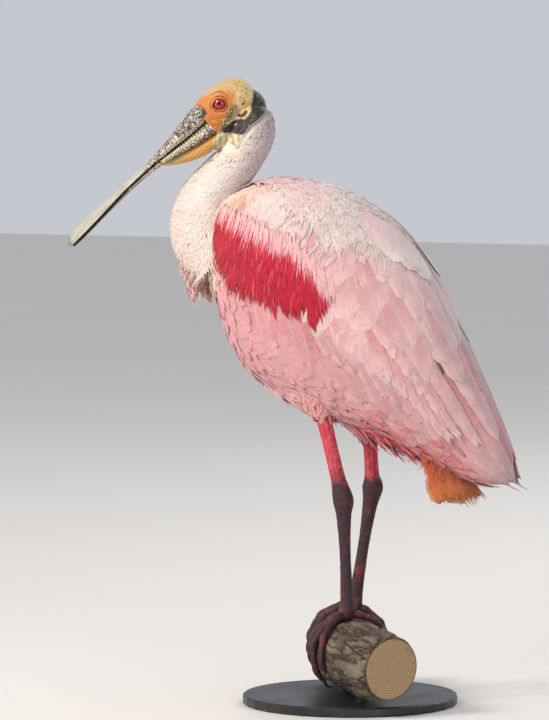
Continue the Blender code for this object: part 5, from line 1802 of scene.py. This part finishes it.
SCAPULAR_TIERS = (
    (((0.235, 66), (0.318, 72), 0, 7), (0.075, 0.090), (10, 6), (0.020, 0.018),
     ("long", PINK, SHELL), (0.0016, 0.0022), 0.50),
    (((0.195, 78), (0.300, 86), 0, 11), (0.050, 0.070), (24, 10), (0.013, 0.013),
     ("long", PINK, SHELL), (0.0016, 0.0028), 0.70),
    (((0.205, 88), (0.295, 94), 0, 10), (0.045, 0.060), (24, 12), (0.011, 0.011),
     ("long", PINK, SHELL), (0.0018, 0.0032), 0.75),
    (((0.235, 44), (0.318, 34), 0, 5), (0.095, 0.110), (8, 3), (0.030, 0.028),
     ("long", PINK, SHELL), (0.0018, 0.0024), 0.06),
    # The next two rows, along the ridge, have roots of the back's lilac-grey in shade: painted shade
    (((0.255, 20), (0.335, 12), 0, 5), (0.090, 0.110), (3, 1), (0.028, 0.026),
     ("long", SHADED_LILAC, PINK), (0.0014, 0.0020), 0.06),
    (((0.190, 3), (0.330, 3), 0, 7), (0.080, 0.095), (1, 1), (0.022, 0.024),
     ("long", SHADED_LILAC, GREY), (0.0012, 0.0018), 0.06),
    (((0.150, 26), (0.172, 14), 0, 3), (0.060, 0.065), (4, 2), (0.025, 0.025),
     ("round", SHELL, WHITE), (0.0030, 0.0040), 0.04),
    (((0.150, 78), (0.240, 72), 0, 6), (0.065, 0.075), (30, 18), (0.030, 0.030),
     ("round", PINK, SHELL), (0.0018, 0.0022), 0.04),
    (((0.105, 70), (0.225, 60), 2, 7), (0.060, 0.080), (34, 16), (0.029, 0.032),
     ("round", PINK, SHELL), (0.0018, 0.0021), 0.04),
    (((0.085, 52), (0.215, 46), 0, 7), (0.055, 0.080), (30, 10), (0.028, 0.032),
     ("round", SHELL, SHELL), (0.0019, 0.0022), 0.04),
    (((0.105, 33), (0.235, 30), 0, 6), (0.055, 0.080), (18, 6), (0.028, 0.032),
     ("round", SHELL, SHELL), (0.0020, 0.0023), 0.05),
    (((0.150, 16), (0.230, 14), 0, 4), (0.060, 0.080), (8, 2), (0.028, 0.030),
     ("round", SHELL, GREY), (0.0020, 0.0023), 0.05),
)


def lay_flight(coat, side):
    """The wing's large feathers, from the lowest tier up: along its lower edge, round its rear tip, and
    the coverts over them."""
    lay_tiers(coat, side, FLIGHT_TIERS, 0.05, 1.06)


# Layers of the middle coverts: pitch along and across, length, width, height of root and tip
MIDDLE_LAYERS = (
    (0.0180, 0.0140, 0.050, 0.0230, 0.0011, 0.0015),
    (0.0170, 0.0130, 0.042, 0.0200, 0.0014, 0.0018),
)


def lay_middle(coat, side):
    """Broad rounded pink coverts under the crimson, the first ones tipped with red."""
    for layer, (pitch_a, pitch_b, reach, width, low, high) in enumerate(MIDDLE_LAYERS):
        span = lambda s: (math.radians(crimson_low(s) - 2 if s < 0.14 else 66), math.radians(112 - 8 * layer))
        s, turn = scatter(CLOAK, (0.004, 0.240), span, pitch_a, pitch_b, 0.5)
        degrees = np.degrees(turn)
        keep = s > wing_front(degrees) + 0.001
        s, turn, degrees = s[keep], turn[keep], degrees[keep]
        n = len(s)
        heading = np.radians(np.interp(s, (0, 0.12, 0.25), (56, 42, 24))) * wobble(n, 0.06)
        tint = shades(cover_colour(s, degrees, CLOAK(s, turn)), n, 0.03)
        near = ramp(-(degrees - crimson_low(s)), -14, -3) * (s < 0.118)
        tip = mix(mix(tint, SHELL, 0.45), linear(228, 120, 134), near * (0.1 + 0.5 * rng.random(n)))
        tint = mix(tint, linear(226, 118, 130), near * 0.3)
        length = reach * wobble(n, 0.10)
        coat.add(CLOAK, s, turn * side, heading * side, length, width * wobble(n, 0.10), "round", tint, tip,
                 (low, high + 0.0002 * rng.random(n)), 0.0004, tilt=-0.0002 * side, rag=0.05)


def lay_underwing(coat, side):
    """Coverts of the folded wing's underside, redder towards the tail."""
    s, turn = scatter(CLOAK, (0.030, 0.318), (math.radians(119), math.radians(178)), 0.0085, 0.0060, 0.7)
    n = len(s)
    points = CLOAK(s, turn)
    red = ramp(s + 0.05 * (turbulence(points, 50, 261) - 0.5), 0.16, 0.24) * (1 - ramp(s, 0.27, 0.31) * 0.6)
    tint = shades(mix(PINK, BELLY_RED, red * (0.4 + 0.5 * rng.random(n))), n, 0.05)
    coat.add(CLOAK, s, turn * side, -0.25 * side + 0.12 * rng.standard_normal(n), 0.026 * wobble(n, 0.2),
             0.0085 * wobble(n, 0.2), "soft", tint, mix(tint, SHELL, 0.35),
             (0.0002, 0.0022 * wobble(n, 0.3)), 0.0005, rag=0.35)


def lay_scapulars(coat, side):
    """Long narrow and broad feathers over the wing's rear and upper part."""
    lay_tiers(coat, side, SCAPULAR_TIERS, 0.04)


# Degrees that the mantle reaches down either side, by metres along the back
MANTLE_REACH = ((-0.018, 22), (0.0, 30), (0.030, 48), (0.060, 56), (0.100, 50), (0.125, 34))


def lay_mantle(coat):
    """Loose grey-white feathers over the back, fine and hair-like."""
    reach = lambda s: np.interp(s, *np.array(MANTLE_REACH).T)
    span = lambda s: (-math.radians(reach(s)), math.radians(reach(s)))
    s, turn = scatter(CLOAK, (-0.018, 0.135), span, 0.0036, 0.0024, 0.9)
    fray = np.abs(np.degrees(turn)) / reach(s) + 0.5 * (turbulence(CLOAK(s, turn), 90, 213) - 0.5)
    keep = rng.random(len(s)) < (1 - ramp(s, 0.105, 0.135)) * (1 - ramp(fray, 0.8, 1.0))
    s, turn = s[keep], turn[keep]
    n = len(s)
    base = CLOAK(s, turn)
    degrees = np.degrees(turn)
    grey = ramp(s + 0.03 * (turbulence(base, 60, 211) - 0.5), 0.020, 0.060)
    tint = mix(shades(SHELL, n, 0.04), mix(linear(226, 206, 202), WHITE, rng.random(n) * 0.9), grey)
    # A few feathers darker grey: painted shade among the loose feathers
    tint = mix(tint, linear(166, 148, 144), (rng.random(n) < 0.08) * grey * 0.7)
    heading = 0.20 * rng.standard_normal(n) + np.sign(turn) * np.radians(0.5 * np.abs(degrees))
    length = (0.016 + 0.012 * grey) * wobble(n, 0.25)
    width = (0.0032 - 0.0012 * grey) * wobble(n, 0.3)
    lift = (0.0014 + 0.0009 * grey, 0.0019 + 0.0010 * grey + 0.0006 * rng.random(n))
    coat.add(CLOAK, s, turn, heading, length, width, "hair", tint, mix(tint, WHITE, 0.3), lift, 0.0002,
             bend=0.5 * rng.standard_normal(n))


def bare_depth(points):
    """How far inside the outline of the bare skin points lie, in millimetres on the head's side."""
    local = to_head(points)
    return inside_by(np.stack([local[:, 0], local[:, 2]], -1) * 1000, BARE_EDGE)


def lay_neck(coat):
    """Short dense feathers down the neck, smallest by the bare skin."""
    t, turn = scatter(NECK_TUBE, (0.0, 0.97), (-math.pi, math.pi), 0.0025, 0.0021, 0.8)
    points = NECK_TUBE(t, turn)
    bare = bare_depth(points)
    keep = bare < 0.4 * turbulence(points, 300, 227) - 0.4
    t, turn, points, bare = t[keep], turn[keep], points[keep], bare[keep]
    n = len(t)
    grow = ramp(-bare, 0, 30)
    clump = turbulence(points, 150, 221)
    colour = mix(CREAM, WHITE, ramp(clump, 0.35, 0.65))
    # The back of the upper neck lilac-grey: painted shade on its side away from the light
    back = ramp(-np.cos(turn), -0.1, 0.9) * ramp(-t, -0.62, -0.30)
    colour = mix(colour, linear(170, 152, 160), back * 0.7)
    colour = mix(colour, linear(236, 196, 176), ramp(t, 0.62, 0.85) * ramp(np.cos(turn), -0.2, 0.6) * 0.4)
    tint = shades(colour, n, 0.04)
    heading = 0.5 * (turbulence(points, 110, 223) - 0.5) + 0.12 * rng.standard_normal(n)
    length = (0.0052 + 0.0036 * grow) * wobble(n, 0.2)
    lift = 0.0005 + 0.0002 * grow + 0.0006 * clump * wobble(n, 0.3)
    coat.add(NECK_TUBE, t, turn, heading, length, length * 0.40, "small", tint, mix(tint, WHITE, 0.35),
             (0.0001, lift), 0.0002)


def lay_chin(coat):
    """The smallest feathers, where the neck meets the pouch."""
    t, turn = scatter(CHIN_TUBE, (0.02, 0.85), (-math.pi, math.pi), 0.0017, 0.0016, 0.8)
    points = CHIN_TUBE(t, turn)
    keep = bare_depth(points) < 0.5
    t, turn, points = t[keep], turn[keep], points[keep]
    n = len(t)
    tint = shades(mix(CREAM, WHITE, turbulence(points, 150, 221)), n, 0.04)
    heading = 0.2 * rng.standard_normal(n)
    coat.add(CHIN_TUBE, t, turn, heading, 0.0044 * wobble(n, 0.2), 0.0018, "small", tint,
             mix(tint, WHITE, 0.35), (0.0001, 0.0008), 0.0002)


def lay_breast(coat):
    """Short feathers over the breast: cream at its top, then buff, and pink towards the belly."""
    t, turn = scatter(TORSO_TUBE, (0.02, 0.60), (-math.pi, math.pi), 0.0036, 0.0030, 0.8)
    points = TORSO_TUBE(t, turn)
    keep = (t < 0.16) | (np.abs(turn) < math.radians(118))
    t, turn, points = t[keep], turn[keep], points[keep]
    n = len(t)
    clump = turbulence(points, 110, 231)
    colour = mix(CREAM, WHITE, ramp(clump, 0.35, 0.65) * 0.7)
    colour = mix(colour, linear(240, 204, 160), ramp(t, 0.08, 0.24) * ramp(np.cos(turn), -0.4, 0.3) * 0.6)
    colour = mix(colour, SHELL, ramp(t, 0.30, 0.42))
    colour = mix(colour, PINK, ramp(t, 0.36, 0.55) * 0.5)
    tint = shades(colour, n, 0.04)
    heading = 0.35 * (turbulence(points, 90, 233) - 0.5) + 0.1 * rng.standard_normal(n)
    length = (0.0080 + 0.0065 * ramp(t, 0.1, 0.4)) * wobble(n, 0.2)
    coat.add(TORSO_TUBE, t, turn, heading, length, length * 0.40, "small", tint, mix(tint, WHITE, 0.3),
             (0.0002, 0.0007 + 0.0008 * clump * wobble(n, 0.3)), 0.0002)


def lay_belly(coat):
    """Longer loose feathers on the flanks and belly, ragged at their ends, redder towards the tail."""
    span = (-math.radians(118), math.radians(118))
    t, turn = scatter(TORSO_TUBE, (0.34, 0.97), span, 0.0075, 0.0052, 0.8)
    n = len(t)
    points = TORSO_TUBE(t, turn)
    red = ramp(t + 0.05 * (turbulence(points, 60, 241) - 0.5), 0.60, 0.70)
    colour = mix(mix(SHELL, PINK, ramp(turbulence(points, 70, 243), 0.35, 0.65) * 0.7), BELLY_RED, red)
    colour = mix(colour, linear(226, 110, 118), (rng.random(n) < 0.35) * red * 0.8)
    tint = shades(colour, n, 0.07)
    length = (0.022 + 0.008 * ramp(t, 0.5, 0.7)) * wobble(n, 0.25)
    heading = 0.14 * rng.standard_normal(n)
    tip = mix(tint, np.where(red[:, None] > 0.5, linear(236, 150, 150), WHITE), 0.3)
    coat.add(TORSO_TUBE, t, turn, heading, length, 0.0052 * wobble(n, 0.3), "hair", tint, tip,
             (0.0004, 0.0034 + 0.0040 * rng.random(n) * (1 + red)), 0.0005,
             bend=0.2 * rng.standard_normal(n))
    lay_big_flank(coat)


# Broad flank feathers: their rows along the body from, to; degrees from, to; length; spread of the lift
FLANK_ROWS = (
    (0.34, 0.46, 74, 100, 0.045, 0.002),
    (0.42, 0.56, 48, 92, 0.050, 0.004),
    (0.48, 0.60, 20, 78, 0.048, 0.006),
)


def lay_big_flank(coat):
    """Broad loose feathers over the flank below the wing's edge."""
    for start, end, low, high, reach, lift in FLANK_ROWS:
        for side in (1, -1):
            n = 34
            t = start + (end - start) * rng.random(n)
            turn = np.radians(low + (high - low) * rng.random(n)) * side
            tint = shades(mix(SHELL, PINK, 0.5 + 0.5 * rng.random(n)), n, 0.05)
            heading = -0.35 * side + 0.12 * rng.standard_normal(n)
            coat.add(TORSO_TUBE, t, turn, heading, reach * wobble(n, 0.15), 0.016, "long", tint,
                     mix(tint, WHITE, 0.2), (0.0010, 0.002 + lift * rng.random(n)), 0.0005, rag=0.18)


def lay_thigh(coat, tube):
    """Short salmon-pink feathers down to the bare leg."""
    t, turn = scatter(tube, (0.10, 0.99), (-math.pi, math.pi), 0.0040, 0.0036, 0.7)
    n = len(t)
    points = tube(t, turn)
    colour = mix(linear(232, 158, 150), PINK, ramp(turbulence(points, 110, 251), 0.35, 0.65) * 0.8)
    colour = mix(colour, linear(222, 116, 112), ramp(t, 0.75, 1.0) * 0.6)
    tint = shades(colour, n, 0.06)
    length = (0.0105 - 0.004 * ramp(t, 0.7, 1.0)) * wobble(n, 0.2)
    coat.add(tube, t, turn, 0.14 * rng.standard_normal(n), length, length * 0.42, "small", tint,
             mix(tint, SHELL, 0.35), (0.0003, 0.0016 * wobble(n, 0.3)), 0.0004)


class Fan:
    """The tail's fan: a from 0 to 1 along it, b from -1 to 1 across, its middle raised over its sides."""

    chart = (0.0, 1.3, -1.4, 1.4, 0.55, 0.0, 0.4, 0.4)
    sign = 1
    root_half = 0.012

    def __call__(self, a, b):
        a, b = np.broadcast_arrays(np.asarray(a, float), np.asarray(b, float))
        x = TAIL_ROOT[0] + (TAIL_TIP[0] - TAIL_ROOT[0] - 0.006 * b * b) * a
        z = PERCH_TOP + TAIL_ROOT[1] + (TAIL_TIP[1] - TAIL_ROOT[1] + 0.003 * np.abs(b)) * a
        y = (self.root_half + (TAIL_SPREAD - self.root_half) * a) * b
        level = (0.0095 * (1 - b * b) - 0.001) * (0.4 + 0.6 * a)
        return np.stack([x + level * 0.83, y, z + level * 0.55], -1)


# The tail's layers of feathers: count, length, width, height of their tips
TAIL_LAYERS = ((15, 0.078, 0.0115, 0.0016), (14, 0.079, 0.0105, 0.0008), (13, 0.074, 0.0100, 0.0026))


def lay_tail(coat):
    """Orange tail feathers in a fan, under and over them red and orange coverts."""
    fan = Fan()
    for count, reach, width, high in TAIL_LAYERS:
        order = np.linspace(-1, 1, count)
        tint = shades(mix(ORANGE, RUST, rng.random(count) * 0.6), count, 0.08)
        coat.add(fan, 0 * order, order * 0.92, 0.05 * order, reach * wobble(count, 0.06), width, "long",
                 mix(tint, BELLY_RED, 0.25), mix(tint, linear(230, 140, 70), 0.4),
                 (0.0004, high * wobble(count, 0.3)), 0.0006, rag=0.6, steps=(0.02, 0.02))
    for side in (1, -1):
        n = 620
        a, b = rng.random(n) * 0.80 - 0.05, rng.random(n) * 2 - 1
        warm = ramp(a + 0.2 * (rng.random(n) - 0.5), 0.20, 0.55)
        tint = shades(mix(BELLY_RED, mix(ORANGE, RUST, rng.random(n) * 0.5), warm), n, 0.1)
        heading, length = 0.12 * rng.standard_normal(n), 0.022 * wobble(n, 0.35)
        coat.add(fan, a, b, heading, length, 0.0022 * wobble(n, 0.4), "hair", tint,
                 mix(tint, linear(232, 150, 84), 0.5),
                 (0.0012 * side, (0.0022 + 0.0022 * rng.random(n)) * side), 0.0003, steps=(0.02, 0.02),
                 bend=0.2 * rng.standard_normal(n))


# Rows of locks: x, height over the limb, count, half breadth of the row, length
LOCK_ROWS = (
    (-0.1500, 0.336, 4, 0.014, 0.024),
    (-0.1450, 0.328, 6, 0.020, 0.025),
    (-0.1395, 0.321, 7, 0.026, 0.026),
    (-0.1335, 0.315, 8, 0.028, 0.026),
)


def lock_specs():
    """Roots, tips and radii of the locks, in rows from the front of the breast back towards the wing."""
    specs = []
    for x, z, count, half, reach in LOCK_ROWS:
        for y in np.linspace(-half, half, count) + 0.0012 * rng.standard_normal(count):
            lean = 0.30 + 0.14 * rng.standard_normal()
            drop = reach * (0.8 + 0.4 * rng.random())
            specs.append((x, y, z, x - drop * lean, y * 1.15, z - drop, 0.0022 + 0.0010 * rng.random()))
    return specs


class Lock:
    """A tapered lock of the breast: a from 0 to 1 along it, b the turn round it."""

    sign = -1

    def __init__(self, spec, number):
        self.root = np.array(spec[:3]) + (0, 0, PERCH_TOP)
        self.tip = np.array(spec[3:6]) + (0, 0, PERCH_TOP)
        self.radius = spec[6]
        self.chart = (-0.2, 1.6, -math.pi, math.pi, 0.05 + 0.022 * number, 0.55, 0.020, 0.4)

    def __call__(self, a, b):
        a, b = np.broadcast_arrays(np.asarray(a, float), np.asarray(b, float))
        spine = self.root + (self.tip - self.root) * a[..., None]
        spine[..., 0] -= 0.004 * np.sin(np.clip(a, 0, 1) * math.pi) - 0.004 * a**2
        size = self.radius * np.maximum(1 - 0.75 * a, 0.12)
        return spine + np.stack([-np.cos(b) * size, np.sin(b) * size, 0.35 * np.cos(b) * size], -1)


def lay_wisps(coat):
    """Curly pinkish locks at the foot of the neck."""
    lay_fringe(coat)
    for number, spec in enumerate(lock_specs()):
        lock = Lock(spec, number)
        n = 30
        a, b = rng.random(n) * 0.75 - 0.15, (rng.random(n) * 2 - 1) * math.pi
        pink = mix(linear(246, 204, 192), linear(230, 140, 136), rng.random(n) ** 2)
        tint = mix(CREAM, pink, ramp(a, 0.0, 0.45))
        reach = 0.014 * wobble(n, 0.3)
        coat.add(lock, a, b, 0.15 * rng.standard_normal(n), reach, 0.0016 * wobble(n, 0.3), "hair", tint,
                 mix(tint, linear(244, 216, 204), 0.7), (0.0001, 0.0006 + 0.0016 * rng.random(n)), 0.0001,
                 steps=(0.02, 0.05), bend=0.5 * rng.standard_normal(n))


def lay_fringe(coat):
    """Loose pink-tipped feathers that hang off the foot of the breast."""
    n = 700
    t, turn = 0.06 + 0.13 * rng.random(n), np.radians(62) * (2 * rng.random(n) - 1)
    pink = mix(linear(246, 208, 196), linear(226, 138, 136), rng.random(n) ** 2)
    tint = mix(CREAM, pink, 0.35 + 0.4 * rng.random(n))
    heading, length = 0.15 * rng.standard_normal(n), 0.019 * wobble(n, 0.3)
    coat.add(TORSO_TUBE, t, turn, heading, length, 0.0042 * wobble(n, 0.3), "hair", tint,
             mix(pink, linear(248, 226, 216), 0.5), (0.0006, 0.0016 + 0.0026 * rng.random(n)), 0.0001,
             bend=0.25 * rng.standard_normal(n))


def make_coats():
    """All pieces of plumage as coats, with their finishes and slots. The order fixes the random draws."""
    feather = plumage("feather_vanes")
    fine = plumage("feather_fine", barb=0.0007, depth=0.00012, contrast=0.10)
    coats = []

    def start(name, finish, slot):
        coats.append((Coat(name), finish, slot))
        return coats[-1][0]

    neck = start("coat_neck", fine, "pale_plumage")
    lay_neck(neck)
    lay_chin(neck)
    lay_breast(start("coat_breast", fine, "pale_plumage"))
    lay_wisps(start("coat_wisps", fine, "pale_plumage"))
    lay_mantle(start("coat_mantle", fine, "pale_plumage"))
    for label, side in (("left", -1), ("right", 1)):
        wing = start("coat_wing_" + label, feather, "pink_plumage")
        lay_flight(wing, side)
        lay_middle(wing, side)
        lay_underwing(wing, side)
        lay_coverts(start("coat_shoulder_" + label, fine, "pale_plumage"), side)
        lay_scapulars(start("coat_scapulars_" + label, feather, "pale_plumage"), side)
        lay_crimson(start("coat_crimson_" + label, fine, "pink_plumage"), side)
    lay_belly(start("coat_belly", fine, "pink_plumage"))
    for label, (side, places) in LEGS.items():
        tube = Tube(thigh_stations(places, side, 0.0008), 2.0, end=1.2)
        lay_thigh(start("coat_thigh_" + label, fine, "pink_plumage"), tube)
    lay_tail(start("coat_tail", feather, "orange_tail"))
    return coats


def main():
    """Everything in order: the coats come before the skin, which takes their tints."""
    make_camera()
    make_studio()
    coats = make_coats()
    make_skin([coat for coat, _, _ in coats])
    for coat, finish, slot in coats:
        coat.build(finish, slot)
    horn = bill_finish()
    make_bill(UPPER_BILL, "bill_upper_horn", "bill_upper", True, horn)
    make_bill(LOWER_BILL, "bill_lower_horn", "bill_lower", False, horn)
    make_eyes(eye_finish())
    make_perch()
    finish_stand()


main()
bpy.context.view_layer.update()
